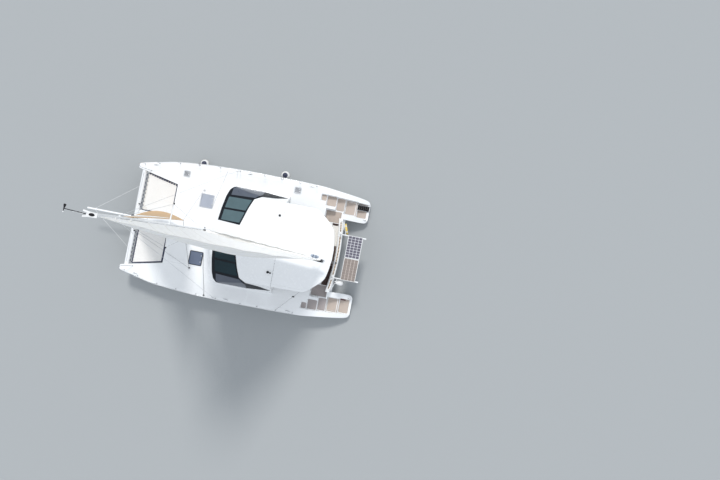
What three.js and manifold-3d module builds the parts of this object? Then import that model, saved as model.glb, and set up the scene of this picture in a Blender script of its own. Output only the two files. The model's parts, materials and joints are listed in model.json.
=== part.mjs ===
import * as THREE from 'three';
import { mergeVertices } from 'three/addons/utils/BufferGeometryUtils.js';
import Module from 'manifold-3d';

// A 12 m sailing catamaran with its mainsail and jib hoisted.
// Millimetres, +X forward, +Y to port, +Z up. The origin is on the waterline, amidships, on the centreline.
// Port pieces are drawn first, and a starboard piece is the port one mirrored in the centre plane.

const wasm = await Module();
wasm.setup();

// Clearances
const seat = 0.3; // between pieces that rest on each other
const pinPlay = 0.6; // round pins and between the lugs of a hinge

// Hull and decks
const sternX = -6000;
const innerWallY = 1900; // the hull's inboard wall, where the bridge deck joins it
const deckLowX = -3400; // the side deck is one plane from here forward
const deckLowZ = 1430;
const deckSlope = 0.015;
const bridgeFrontX = 3876;
const bridgeAftX = -4860;
const bridgeUnderZ = 680;
const soleZ = 850;
const wellFrontX = 1330; // the forward wall of the saloon well

// Bow gear
const beamX = 5700;
const beamZ = 1400;
const beamRadius = 125;
const spritTipX = 8160;
const spritRadius = 48;
const spritZ = beamZ + beamRadius + spritRadius + seat;
const catwalkHalfWidth = 400;
const netZ = 1400;
const netThickness = 16;

// Rig
const mastX = 1900;
const mastHalfChord = 140;
const mastHalfWidth = 80;
const mastTopZ = 17400;
const houndsZ = 15000;
const boomAxisX = mastX - mastHalfChord - 50;
const boomZ = 3800;
const boomLength = 6000;
const sheetAngle = THREE.MathUtils.degToRad(3.4);
const stayFootZ = 1880;
const stayFootX = beamX;
const stayHeadX = mastX + mastHalfChord + 70;

// Underwater
const keelDepthZ = -1180;
const rudderX = -5560;
const rudderY = 2550;
const legX = -4150;
const shaftZ = -700;
const shaftY = 2570;

const paints = {
  gelcoat: { color: 0xf3f3f0, roughness: 0.35, metalness: 0 },
  antifoul: { color: 0x24344c, roughness: 0.85, metalness: 0 },
  spar: { color: 0xe9eaea, roughness: 0.35, metalness: 0.3 },
  steel: { color: 0xc4c8cb, roughness: 0.25, metalness: 1 },
  bronze: { color: 0xa98650, roughness: 0.4, metalness: 1 },
  glass: { color: 0x2c3a49, roughness: 0.08, metalness: 0 },
  sail: { color: 0xefece2, roughness: 0.8, metalness: 0 },
  net: { color: 0xe2dccb, roughness: 0.9, metalness: 0 },
  dark: { color: 0x22252a, roughness: 0.6, metalness: 0 },
  cells: { color: 0x6f6a78, roughness: 0.3, metalness: 0.1 },
  cellsBrown: { color: 0x8b7d74, roughness: 0.35, metalness: 0.1 },
  yellow: { color: 0xe8c12b, roughness: 0.5, metalness: 0 },
  white: { color: 0xf6f6f4, roughness: 0.45, metalness: 0 },
  cushion: { color: 0xcfc8b8, roughness: 0.9, metalness: 0 },
  engine: { color: 0x8b9096, roughness: 0.6, metalness: 0.4 },
};

const catamaran = new THREE.Group();

function add(name, geometry, paint) {
  const mesh = new THREE.Mesh(geometry, new THREE.MeshStandardMaterial(paints[paint]));
  mesh.name = name;
  catamaran.add(mesh);
  return mesh;
}

// Geometry helpers

// Drops normals and triangles of no area, and merges shared corners
function clean(geometry) {
  const bare = geometry.clone();
  bare.deleteAttribute('normal');
  bare.deleteAttribute('uv');
  const merged = mergeVertices(bare, 1e-3);
  const index = merged.index.array;
  const kept = [];
  for (let i = 0; i < index.length; i += 3) {
    const [a, b, c] = [index[i], index[i + 1], index[i + 2]];
    if (a !== b && b !== c && c !== a) kept.push(a, b, c);
  }
  merged.setIndex(kept);
  return merged;
}

function solidOf(geometry) {
  const merged = clean(geometry);
  return new wasm.Manifold(new wasm.Mesh({
    numProp: 3,
    vertProperties: new Float32Array(merged.attributes.position.array),
    triVerts: new Uint32Array(merged.index.array),
  }));
}

function geometryOf(solid) {
  const mesh = solid.getMesh();
  const geometry = new THREE.BufferGeometry();
  geometry.setAttribute('position', new THREE.BufferAttribute(new Float32Array(mesh.vertProperties), 3));
  geometry.setIndex(new THREE.BufferAttribute(new Uint32Array(mesh.triVerts), 1));
  return geometry;
}

function join(...geometries) {
  return geometryOf(geometries.map(solidOf).reduce((whole, piece) => whole.add(piece)));
}

function cut(geometry, ...tools) {
  return geometryOf(tools.map(solidOf).reduce((rest, tool) => rest.subtract(tool), solidOf(geometry)));
}

function common(geometry, other) {
  return geometryOf(solidOf(geometry).intersect(solidOf(other)));
}

// The same piece on the other side of the centre plane
function mirrored(geometry) {
  const copy = clean(geometry);
  const places = copy.attributes.position;
  for (let i = 0; i < places.count; i += 1) places.setY(i, -places.getY(i));
  const index = copy.index.array;
  for (let i = 0; i < index.length; i += 3) [index[i + 1], index[i + 2]] = [index[i + 2], index[i + 1]];
  return copy;
}

function addPair(name, geometry, paint) {
  add(`${name}_port`, geometry, paint);
  add(`${name}_starboard`, mirrored(geometry), paint);
}

function block(x0, x1, y0, y1, z0, z1) {
  const geometry = new THREE.BoxGeometry(Math.abs(x1 - x0), Math.abs(y1 - y0), Math.abs(z1 - z0));
  return geometry.translate((x0 + x1) / 2, (y0 + y1) / 2, (z0 + z1) / 2);
}

function shapeOf(points) {
  return new THREE.Shape(points.map(([a, b]) => new THREE.Vector2(a, b)));
}

// A plan outline of [x, y] points, upright from z0 to z1
function upright(points, z0, z1) {
  const geometry = new THREE.ExtrudeGeometry(shapeOf(points), { depth: z1 - z0, bevelEnabled: false });
  return geometry.translate(0, 0, z0);
}

// A side outline of [x, z] points, across from y0 to y1
function across(points, y0, y1) {
  const geometry = new THREE.ExtrudeGeometry(shapeOf(points), { depth: y1 - y0, bevelEnabled: false });
  return geometry.rotateX(Math.PI / 2).translate(0, y1, 0);
}

// A cross outline of [y, z] points, lengthways from x0 to x1
function lengthways(points, x0, x1) {
  const geometry = new THREE.ExtrudeGeometry(shapeOf(points), { depth: x1 - x0, bevelEnabled: false });
  geometry.rotateX(Math.PI / 2).rotateZ(Math.PI / 2);
  return geometry.translate(x0, 0, 0);
}

function rod(from, to, radius, sides = 8, endRadius = radius) {
  const start = new THREE.Vector3(...from);
  const end = new THREE.Vector3(...to);
  const geometry = new THREE.CylinderGeometry(endRadius, radius, start.distanceTo(end), sides);
  const up = new THREE.Vector3(0, 1, 0);
  const turn = new THREE.Quaternion().setFromUnitVectors(up, end.clone().sub(start).normalize());
  const middle = start.clone().add(end).multiplyScalar(0.5);
  return geometry.applyQuaternion(turn).translate(middle.x, middle.y, middle.z);
}

// A round bar through the points, mitred at each corner
function bentRod(points, radius, sides = 8) {
  const places = points.map((point) => new THREE.Vector3(...point));
  const heading = (i) => places[i + 1].clone().sub(places[i]).normalize();
  const turn = new THREE.Quaternion().setFromUnitVectors(new THREE.Vector3(0, 0, 1), heading(0));
  let ring = ellipse(radius, radius, sides).map(([x, y]) => (
    new THREE.Vector3(x, y, 0).applyQuaternion(turn).add(places[0])));
  const rings = [ring];
  for (let i = 1; i < places.length; i += 1) {
    const along = heading(i - 1);
    const normal = i + 1 < places.length ? heading(i).add(along) : along;
    ring = ring.map((point) => {
      const reach = places[i].clone().sub(point).dot(normal) / along.dot(normal);
      return point.clone().addScaledVector(along, reach);
    });
    rings.push(ring);
  }
  return loft(rings.map((points3) => points3.map((point) => point.toArray())));
}

function ellipse(halfX, halfY, count) {
  const points = [];
  for (let i = 0; i < count; i += 1) {
    const angle = 2 * Math.PI * i / count;
    points.push([halfX * Math.cos(angle), halfY * Math.sin(angle)]);
  }
  return points;
}

// The same outline with every edge moved inward
function inset(points, distance) {
  const turn = Math.sign(THREE.ShapeUtils.area(points.map(([x, y]) => new THREE.Vector2(x, y))));
  return points.map((point, i) => {
    const before = points[(i + points.length - 1) % points.length];
    const after = points[(i + 1) % points.length];
    const into = new THREE.Vector2(point[0] - before[0], point[1] - before[1]).normalize();
    const out = new THREE.Vector2(after[0] - point[0], after[1] - point[1]).normalize();
    const normal = new THREE.Vector2(-into.y - out.y, into.x + out.x).normalize();
    const reach = turn * distance / Math.max(0.25, Math.abs(normal.dot(new THREE.Vector2(-into.y, into.x))));
    return [point[0] + normal.x * reach, point[1] + normal.y * reach];
  });
}

// A body through closed rings of [x, y, z] points, all with the same count, ends closed flat
function loft(rings) {
  const count = rings[0].length;
  const positions = rings.flat(2);
  const index = [];
  for (let r = 0; r + 1 < rings.length; r += 1) {
    for (let i = 0; i < count; i += 1) {
      const a = r * count + i;
      const b = r * count + (i + 1) % count;
      index.push(a, b, b + count, a, b + count, a + count);
    }
  }
  index.push(...ringCap(rings[0], 0, false));
  index.push(...ringCap(rings.at(-1), (rings.length - 1) * count, true));
  if (volumeOf(positions, index) < 0) {
    for (let i = 0; i < index.length; i += 3) [index[i + 1], index[i + 2]] = [index[i + 2], index[i + 1]];
  }
  const geometry = new THREE.BufferGeometry();
  geometry.setAttribute('position', new THREE.Float32BufferAttribute(positions, 3));
  geometry.setIndex(index);
  return geometry;
}

function ringCap(ring, offset, forward) {
  const normal = [0, 0, 0];
  ring.forEach((p, i) => {
    const q = ring[(i + 1) % ring.length];
    normal[0] += (p[1] - q[1]) * (p[2] + q[2]);
    normal[1] += (p[2] - q[2]) * (p[0] + q[0]);
    normal[2] += (p[0] - q[0]) * (p[1] + q[1]);
  });
  const sizes = normal.map(Math.abs);
  const drop = sizes.indexOf(Math.max(...sizes));
  const [u, v] = [0, 1, 2].filter((axis) => axis !== drop);
  const flat = ring.map((p) => new THREE.Vector2(p[u], p[v]));
  const turn = THREE.ShapeUtils.area(flat) > 0;
  const faces = [];
  for (const [a, b, c] of THREE.ShapeUtils.triangulateShape(flat, [])) {
    const sameTurn = THREE.ShapeUtils.area([flat[a], flat[b], flat[c]]) > 0 === turn;
    if (sameTurn === forward) faces.push(offset + a, offset + b, offset + c);
    else faces.push(offset + a, offset + c, offset + b);
  }
  return faces;
}

function volumeOf(positions, index) {
  let six = 0;
  const [a, b, c] = [new THREE.Vector3(), new THREE.Vector3(), new THREE.Vector3()];
  for (let i = 0; i < index.length; i += 3) {
    a.fromArray(positions, index[i] * 3);
    b.fromArray(positions, index[i + 1] * 3);
    c.fromArray(positions, index[i + 2] * 3);
    six += a.dot(b.cross(c));
  }
  return six;
}

function mix(a, b, share) {
  return a + (b - a) * share;
}

function deckZ(x) {
  return deckLowZ + (x - deckLowX) * deckSlope;
}

// Lifts a piece drawn over z = 0 onto the sloping deck
function onDeck(geometry) {
  const places = geometry.attributes.position;
  for (let i = 0; i < places.count; i += 1) {
    places.setZ(i, places.getZ(i) + deckZ(places.getX(i)));
  }
  return geometry;
}

// Hulls

// x, inboard deck edge, outboard deck edge, drop below the deck plane,
// height of the widest waterline, its inboard and outboard edges, keel line height
const hullStations = [
  [6000, 2560, 2700, 40, 1180, 2590, 2670, 1000],
  [5960, 2515, 2760, 10, 900, 2580, 2690, 640],
  [5880, 2490, 2800, 0, 520, 2575, 2700, 200],
  [5740, 2456, 2840, 0, 150, 2560, 2730, -80],
  [5480, 2399, 2891, 0, 0, 2510, 2790, -230],
  [4970, 2286, 2993, 0, 0, 2420, 2880, -350],
  [4460, 2172, 3115, 0, 0, 2330, 2950, -420],
  [3885, 2043, 3205, 0, 0, 2240, 3010, -480],
  [3870, innerWallY, 3206, 0, 0, 2238, 3012, -481],
  [2930, innerWallY, 3300, 0, 0, 2130, 3090, -530],
  [1900, innerWallY, 3362, 0, 0, 2060, 3150, -560],
  [0, innerWallY, 3410, 0, 0, 2000, 3210, -580],
  [-1900, innerWallY, 3405, 0, 0, 2000, 3210, -560],
  [-3400, innerWallY, 3370, 0, 0, 2010, 3180, -490],
  [-4200, innerWallY, 3300, 110, 0, 2030, 3120, -420],
  [-4900, innerWallY, 3235, 330, 0, 2050, 3060, -320],
  [-5450, 1900, 3185, 640, 0, 2080, 3000, -205],
  [-5780, 1915, 3135, 850, 0, 2100, 2960, -130],
  [-5920, 1965, 3085, 960, 0, 2140, 2920, -95],
  [-6000, 2090, 2950, 1020, 0, 2210, 2850, -60],
];
const bottomSteps = 8;

function hullSection([x, innerDeck, outerDeck, drop, midZ, midInner, midOuter, keelZ]) {
  const top = deckZ(x) - drop;
  const rise = top - midZ;
  const middle = (midInner + midOuter) / 2;
  const half = (midOuter - midInner) / 2;
  const ring = [
    [x, innerDeck, top],
    [x, innerDeck, midZ + 0.45 * rise],
    [x, mix(innerDeck, midInner, 0.55), midZ + 0.2 * rise],
  ];
  for (let i = 0; i <= bottomSteps; i += 1) {
    const angle = Math.PI * i / bottomSteps;
    const depth = Math.sin(angle) ** 0.8;
    ring.push([x, middle - half * Math.cos(angle), midZ + (keelZ - midZ) * depth]);
  }
  ring.push([x, mix(midOuter, outerDeck, 0.62), midZ + 0.36 * rise]);
  ring.push([x, mix(midOuter, outerDeck, 0.93), midZ + 0.78 * rise]);
  ring.push([x, outerDeck, top - 0.07 * rise]);
  ring.push([x, outerDeck - 0.02 * rise, top]);
  return ring;
}

// Steps from the side deck down to the bathing platform: forward x, aft x, inboard y, outboard y, height
const sternSteps = [
  [-3430, -3740, 2640, 2990, 1240],
  [-3730, -4260, 2440, 2990, 1050],
  [-4250, -4710, 2280, 2970, 850],
  [-4700, -5360, 2170, 2960, 580],
  [-5350, -6100, 2150, 2930, 340],
];
const stepHeadroom = 1700;
const passage = { front: -3790, aft: -4640, outer: 2300 };
const engineBay = { front: -4380, aft: -5220, inner: 2270, outer: 2830, floor: -60, roof: 470 };
const engineLid = { front: -4750, aft: -5260, inner: 2220, outer: 2880, thickness: 25 };
const rudderStockRadius = 32;
const rudderStockTop = 120;

function stepCuts() {
  const cuts = sternSteps.map(([front, aft, inner, outer, z]) => block(aft, front, inner, outer, z, stepHeadroom));
  cuts.push(block(passage.aft, passage.front, innerWallY - 50, passage.outer, soleZ, stepHeadroom));
  return cuts;
}

function engineBayCuts() {
  const bay = engineBay;
  const mouth = block(bay.aft, engineLid.front - 40, bay.inner, bay.outer, bay.roof - 10, 590);
  return [block(bay.aft, bay.front, bay.inner, bay.outer, bay.floor, bay.roof), mouth];
}

// Deck hatches: name, forward x, aft x, inboard y, outboard y, and the depth of the space below
const foreHatch = { front: 2600, aft: 1915, inner: 1130, outer: 1845, depth: 560 };
const smallHatches = [
  { name: 'hatch_bow_starboard', front: 3690, aft: 3350, inner: 2500, outer: 2830, depth: 420 },
  { name: 'hatch_stern_starboard', front: -2010, aft: -2370, inner: 2750, outer: 3085, depth: 420 },
];
const hatchLip = 45;
const hatchLidThickness = 30;

function hatchSpace(hatch) {
  const { front, aft, inner, outer, depth } = hatch;
  return onDeck(block(aft + hatchLip, front - hatchLip, inner + hatchLip, outer - hatchLip, -depth, 60));
}

function hatchLid(hatch) {
  const { front, aft, inner, outer } = hatch;
  return onDeck(block(aft, front, inner, outer, seat, seat + hatchLidThickness));
}

function beamTube(radius, reach) {
  return rod([beamX, -reach, beamZ], [beamX, reach, beamZ], radius, 20);
}

// Boarding ladder on the starboard transom, drawn on the port side and mirrored
const ladder = { x: -6032, z: 362, inner: 2565, outer: 2835, railRadius: 13, eyeRadius: 20, pinRadius: 8, length: 720 };

function ladderBracket() {
  const { x, z, inner, outer, railRadius: rail, pinRadius } = ladder;
  const [from, to] = [inner + rail + 6, outer - rail - 6];
  const ears = [from, to - 8].map((y) => block(x - 12, sternX + 20, y, y + 8, z - 50, z + 12));
  return join(...ears, rod([x, inner - rail - 4, z], [x, outer + rail + 4, z], pinRadius, 16));
}

const beamReach = 2560;
const hullBlank = loft(hullStations.map(hullSection));

function makeHulls() {
  const socket = beamTube(beamRadius + seat, beamReach + seat);
  const stockBore = rod([rudderX, rudderY, -600], [rudderX, rudderY, rudderStockTop], rudderStockRadius + pinPlay, 20);
  const hull = cut(hullBlank, ...stepCuts(), ...engineBayCuts(), socket, stockBore);
  add('hull_port', hull, 'gelcoat');
  const starboard = join(cut(hull, ...smallHatches.map(hatchSpace)), ladderBracket());
  add('hull_starboard', mirrored(starboard), 'gelcoat');
}

// Keels and what is under the hulls

// An aerofoil outline of [x, y] points, nose forward
function foil(noseX, chord, thickness, middleY, steps = 7) {
  const side = [];
  for (let i = 0; i <= steps; i += 1) {
    const t = (1 - Math.cos(Math.PI * i / steps)) / 2;
    const half = thickness * 2.6 * (0.2969 * Math.sqrt(t) - 0.126 * t - 0.3516 * t * t + 0.1807 * t ** 3) * 2;
    side.push([noseX - chord * t, Math.max(half, i === 0 ? 0 : 3)]);
  }
  const port = side.map(([x, half]) => [x, middleY + half]);
  const starboard = side.slice(1).reverse().map(([x, half]) => [x, middleY - half]);
  return [...port, ...starboard];
}

function foilBody(levels, middleY) {
  return loft(levels.map(([z, noseX, chord, thickness]) => (
    foil(noseX, chord, thickness, middleY).map(([x, y]) => [x, y, z]))));
}

function makeKeels() {
  const middleY = 2600;
  // height, nose x, chord, thickness
  const blank = foilBody([[-300, 1560, 2900, 250], [-560, 1500, 2800, 240], [keelDepthZ, 1220, 2300, 200]], middleY);
  addPair('keel', cut(blank, hullBlank.clone().translate(0, 0, -seat)), 'antifoul');
}

function makeRudders() {
  // height, nose x, chord, thickness
  const blade = foilBody([[-1050, rudderX + 90, 330, 38], [-235, rudderX + 120, 440, 52]], rudderY);
  const stock = rod([rudderX, rudderY, -500], [rudderX, rudderY, rudderStockTop - 20], rudderStockRadius, 20);
  addPair('rudder', join(blade, stock), 'antifoul');
}

function makeEngines() {
  const bay = engineBay;
  const sides = 60;
  const engine = block(bay.aft + 90, bay.front - 60, bay.inner + sides, bay.outer - sides, bay.floor + seat, 380);
  addPair('engine', engine, 'engine');
}

const driveHalfLength = 190;

function makeDrives() {
  const hullBelow = hullBlank.clone().translate(0, 0, -seat);
  // height, nose x, chord, thickness
  const leg = foilBody([[-760, legX + 120, 260, 55], [-260, legX + 190, 380, 90]], shaftY);
  const torpedo = rod([legX - driveHalfLength, shaftY, shaftZ], [legX + driveHalfLength, shaftY, shaftZ], 55, 16, 30);
  addPair('saildrive', cut(join(leg, torpedo), hullBelow), 'antifoul');
}

function makePropellers() {
  const hubFront = legX - driveHalfLength - pinPlay;
  const hubAft = hubFront - 110;
  const bladeCount = 3;
  const pieces = [rod([hubFront, 0, 0], [hubAft, 0, 0], 52, 18, 40)];
  for (let i = 0; i < bladeCount; i += 1) {
    const blade = loft([[36, 40, 0.35], [110, 120, 0.6], [175, 110, 0.85], [215, 50, 1]].map(([radius, chord, pitch]) => {
      const [c, s] = [Math.cos(pitch) * chord / 2, Math.sin(pitch) * chord / 2];
      const [nx, ny] = [Math.sin(pitch) * 4, -Math.cos(pitch) * 4];
      const middleX = (hubFront + hubAft) / 2;
      return [[middleX + c + nx, s + ny, radius], [middleX + c - nx, s - ny, radius],
        [middleX - c - nx, -s - ny, radius], [middleX - c + nx, -s + ny, radius]];
    }));
    pieces.push(blade.rotateX(i * 2 * Math.PI / bladeCount));
  }
  addPair('propeller', join(...pieces).translate(0, shaftY, shaftZ), 'bronze');
}

// Bridge deck between the hulls

function makeBridgeDeck() {
  const outline = [
    [bridgeFrontX, deckZ(bridgeFrontX)],
    [wellFrontX, deckZ(wellFrontX)],
    [wellFrontX, soleZ],
    [bridgeAftX, soleZ],
    [bridgeAftX, bridgeUnderZ + 60],
    [bridgeAftX + 60, bridgeUnderZ],
    [2300, bridgeUnderZ],
    [3000, 780],
    [3500, 960],
    [3800, 1180],
    [bridgeFrontX, 1320],
  ];
  const reach = innerWallY - seat;
  const deck = across(outline, -reach, reach);
  const spaces = [hatchSpace(foreHatch), mirrored(hatchSpace(foreHatch))];
  add('bridgedeck', cut(deck, ...spaces), 'gelcoat');
}

function makeCatwalk() {
  const front = beamX - beamRadius - 20;
  const outline = [
    [bridgeFrontX + seat, deckZ(bridgeFrontX)],
    [front, 1500],
    [front, 1300],
    [bridgeFrontX + seat, 1330],
  ];
  const walk = across(outline, -catwalkHalfWidth, catwalkHalfWidth);
  // Saddles that reach forward onto the cross beam
  const saddle = block(front - 60, beamX, 180, 260, 1330, 1460);
  const saddles = [saddle, mirrored(saddle)].map((piece) => cut(piece, beamTube(beamRadius + seat, 600)));
  const chock = cut(block(5080, 5180, -75, 75, 1490, spritZ - 15), spritPole(spritRadius + seat));
  add('catwalk', join(walk, ...saddles, chock), 'gelcoat');
}

function spritPole(radius) {
  const heelX = beamX - beamRadius - 520;
  return rod([heelX, 0, spritZ], [spritTipX, 0, spritZ], radius, 18);
}

function makeCrossbeam() {
  const postTop = stayFootZ - 60;
  const plate = across([[beamX - 90, beamZ], [beamX + 90, beamZ], [beamX + 45, postTop], [beamX - 45, postTop]], 54, 70);
  const head = block(beamX - 45, beamX + 45, -70, 70, postTop - 90, postTop);
  const cradle = cut(block(beamX - 60, beamX + 60, -53, 53, beamZ + 90, spritZ - 15), spritPole(spritRadius + seat));
  const pieces = [beamTube(beamRadius, beamReach), plate, mirrored(plate), head, stayFootCup(), cradle];
  add('crossbeam', join(...pieces), 'spar');
}

function makeBowsprit() {
  const ring = rod([7690, 0, spritZ], [7750, 0, spritZ], spritRadius + 14, 18);
  add('bowsprit', join(spritPole(spritRadius), ring), 'spar');
  // A stay each side from the ring, under the cross beam, to a plate on the inboard side of the hull
  const anchor = { x: 5130, y: 2310, z: 745 };
  const stay = join(
    rod([7720, spritRadius + 26, spritZ - 4], [anchor.x, anchor.y, anchor.z], 7, 8),
    block(anchor.x - 60, anchor.x + 60, anchor.y - 8, anchor.y + 70, anchor.z - 40, anchor.z + 40),
  );
  addPair('bowsprit_stay', cut(stay, hullBlank.clone().translate(0, -seat, 0)), 'steel');
}

function hullInnerY(x) {
  const after = hullStations.findIndex((row) => row[0] <= x);
  const [a, b] = [hullStations[after - 1], hullStations[after]];
  return mix(a[1], b[1], (x - a[0]) / (b[0] - a[0]));
}

function makeTrampolines() {
  const front = beamX - beamRadius - seat;
  const aft = bridgeFrontX + seat;
  const inner = catwalkHalfWidth + seat;
  const outline = [[front, inner], [front, hullInnerY(front) - seat]];
  for (const x of [5480, 4970, 4460, 3885]) outline.push([x, hullInnerY(x) - seat]);
  outline.push([aft, hullInnerY(aft) - 6], [aft, inner]);
  addPair('trampoline', upright(outline, netZ - netThickness / 2, netZ + netThickness / 2), 'net');
}

// Coachroof over the saloon

const roofAftX = -1890;
const roofWall = 50;
// height (null: on the deck), front x, half width, depth of the curved front, its squareness
const roofRings = [
  [null, 1725, 2530, 620, 2.6],
  [1750, 1500, 2461, 600, 2.6],
  [2200, 850, 2312, 800, 2.4],
  [2620, 230, 2160, 1000, 2.2],
  [2750, -40, 2105, 1050, 2.2],
  [2835, -330, 1960, 1100, 2.2],
  [2890, -700, 1400, 1000, 2.2],
  [2910, -1100, 700, 600, 2.2],
];
const frontSteps = 9;

function roofRing([z, frontX, halfWidth, depth, squareness], aftX) {
  const half = [];
  for (let i = 0; i <= frontSteps; i += 1) {
    const angle = Math.PI / 2 * i / frontSteps;
    const y = halfWidth * Math.sin(angle) ** (2 / squareness);
    const x = frontX - depth * (1 - Math.cos(angle) ** (2 / squareness));
    half.push([x, y]);
  }
  half.push([mix(frontX - depth, aftX, 0.5), halfWidth], [aftX, halfWidth]);
  const other = half.slice(1).reverse().map(([x, y]) => [x, -y]);
  return [...other, ...half].map(([x, y]) => [x, y, z ?? deckZ(x) + seat]);
}

const crownStart = 4; // from this ring up the roof curves inward

function roofBody(wall, aftX, floorZ) {
  const rings = roofRings.map(([z, frontX, halfWidth, depth, squareness], i) => {
    const crowned = i >= crownStart;
    const frontWall = crowned ? wall * 3 : wall * 1.8;
    return [crowned ? z - wall : z, frontX - frontWall, halfWidth - wall, depth, squareness];
  });
  const lofted = rings.map((ring) => roofRing(ring, aftX));
  if (floorZ !== undefined) lofted.unshift(lofted[0].map(([x, y]) => [x, y, floorZ]));
  return loft(lofted);
}

// Port window band seen in plan, [x, y]: along the lower edge, then back along the roof edge
const windowOutline = [
  [1486, 660], [1410, 1269], [1283, 1928], [1157, 2283], [979, 2461], [860, 2500], [-449, 2500],
  [-1893, 2367], [-1274, 2235], [-642, 2175], [-273, 1981], [-78, 1485], [70, 990], [198, 594],
].map(([x, y]) => [Math.max(x, -1840), y]);
const glassThickness = 14;

function makeCoachroof() {
  const outer = roofBody(0, roofAftX);
  const inner = roofBody(roofWall, roofAftX - 200, 1300);
  const shell = cut(outer, inner);
  const [sillZ, headZ] = [1640, 2720];
  const opening = upright(windowOutline, sillZ, headZ);
  add('coachroof', cut(shell, opening, mirrored(opening)), 'gelcoat');
  // The glass is a thin layer of the same shell, a little smaller than its opening
  const glassShell = cut(outer, roofBody(glassThickness, roofAftX - 200, 1300));
  addPair('window', common(glassShell, upright(inset(windowOutline, seat), sillZ + seat, headZ - seat)), 'glass');
}

// Saloon bulkhead in three panels round the doorway, with a sliding door on its aft face
const bulkheadFrontX = -1830;
const bulkheadAftX = -1880;
const doorway = { starboard: -420, port: 480, head: 2640 };
const doorFootZ = soleZ + 30;
const doorTravel = 940;

function makeBulkhead() {
  const fit = 1.5; // inside the coachroof
  const onDeckZ = deckZ(bulkheadFrontX) + fit;
  const side = [[innerWallY - seat, soleZ + seat], [innerWallY - seat, onDeckZ]];
  const profile = roofRings.map(([z, , halfWidth], i) => (
    [halfWidth - roofWall - fit, (z ?? onDeckZ) - (i >= crownStart ? roofWall + fit : 0)]));
  const half = [...side, ...profile];
  const outline = [...half, ...half.slice().reverse().map(([y, z]) => [-y, z])];
  const wall = lengthways(outline, bulkheadAftX, bulkheadFrontX);
  const slice = (y0, y1, z0, z1) => block(-2000, -1700, y0, y1, z0, z1);
  const [outboard, above] = [2600, 3000]; // past the wall's own edges
  const starboardPane = slice(-1750, -620, 1560, 2450);
  const portPane = slice(700, 1750, 1560, 2450);
  // Rails that the door slides in: one over the doorway, and a short one at the foot of the port panel
  const rail = block(bulkheadAftX - 40, bulkheadAftX + 5, -460, 1500, doorway.head + 40, doorway.head + 60);
  const guide = block(bulkheadAftX - 40, bulkheadAftX + 5, doorway.port, 1500, doorFootZ - 15, doorFootZ);
  const headPanel = common(wall, slice(-outboard, outboard, doorway.head, above));
  const portPanel = common(wall, slice(doorway.port, outboard, 0, doorway.head - seat));
  const starboardPanel = common(wall, slice(-outboard, doorway.starboard, 0, doorway.head - seat));
  add('bulkhead_head', join(headPanel, rail), 'gelcoat');
  add('bulkhead_port', join(cut(portPanel, portPane), guide), 'gelcoat');
  add('bulkhead_starboard', cut(starboardPanel, starboardPane), 'gelcoat');
  // The door stands open, slid to port
  const [panelStarboard, panelPort] = [doorway.starboard - 20 + doorTravel, doorway.port + 20 + doorTravel];
  const [panelFoot, panelHead] = [doorFootZ + pinPlay, doorway.head + 40 - pinPlay];
  const panel = block(bulkheadAftX - 35, bulkheadAftX - 8, panelStarboard, panelPort, panelFoot, panelHead);
  add('saloon_door', panel, 'glass');
}

// Hardtop over the cockpit: x and half width
const hardtopFrontX = roofAftX - 3;
const hardtopOutline = [
  [hardtopFrontX, 2105], [-2700, 2102], [-3460, 2090], [-3804, 1869], [-4198, 1524], [-4444, 1229], [-4560, 787],
  [-4616, 300],
];
const hardtopThickness = 70;

function roofCamber(y, halfWidth) {
  const share = Math.min(1, Math.abs(y) / halfWidth);
  return 160 * (1 - share ** 2.6);
}

function makeHardtop() {
  const steps = 8;
  const rings = hardtopOutline.map(([x, halfWidth]) => {
    const sag = 22 * ((hardtopFrontX - x) / 2700) ** 2;
    const top = [];
    for (let i = 0; i <= steps; i += 1) {
      const y = halfWidth * (1 - 2 * i / steps);
      top.push([x, y, 2750 - sag + roofCamber(y, 2150)]);
    }
    const under = top.slice().reverse().map(([px, y, z]) => [px, y * 0.985, z - hardtopThickness]);
    return [...top, ...under];
  });
  const posts = [];
  for (const side of [-1, 1]) {
    const [x, y] = [-3150, side * 2030];
    posts.push(rod([x, y, deckZ(x) + 10], [x, side * 2010, 2720], 26, 12));
    posts.push(onDeck(rod([x, y, seat], [x, y, 14], 60, 16)));
  }
  add('hardtop', join(loft(rings), ...posts), 'gelcoat');
}

// Cockpit

const benchBow = 170; // how far the aft bench curves aft at its middle
const beamEndX = -4755; // the beam's aft face at the hulls
const aftBeamTopZ = 1700;
const benchHalfLength = 1620; // the seat stops short of the passages

// The aft face of the beam, which curves aft between the hulls
function beamAftX(y) {
  return beamEndX - benchBow * (1 - (y / innerWallY) ** 2);
}

function benchPiece(profile, reach) {
  const steps = 10;
  const rings = [];
  for (let i = 0; i <= steps; i += 1) {
    const y = mix(-reach, reach, i / steps);
    rings.push(profile.map(([forward, z]) => [beamAftX(y) + forward, y, z]));
  }
  return loft(rings);
}

function makeAftBench() {
  // x forward of the beam's aft face, height
  const beam = [
    [236, 1290], [201, aftBeamTopZ - 20], [172, aftBeamTopZ], [29, aftBeamTopZ], [0, aftBeamTopZ - 25], [0, 1290],
  ];
  const bench = [
    [561, soleZ + seat], [561, 1220], [536, 1260], [276, 1275], [236, 1300], [0, 1300], [0, 1100], [68, soleZ + seat],
  ];
  // A short wall under each end of the beam, aft of the passage
  const endWall = block(beamEndX + 5, passage.aft - 20, benchHalfLength - 20, innerWallY - seat, soleZ + seat, 1320);
  const pieces = [benchPiece(beam, innerWallY - seat), benchPiece(bench, benchHalfLength), endWall, mirrored(endWall)];
  add('aft_bench', join(...pieces), 'gelcoat');
}

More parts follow.
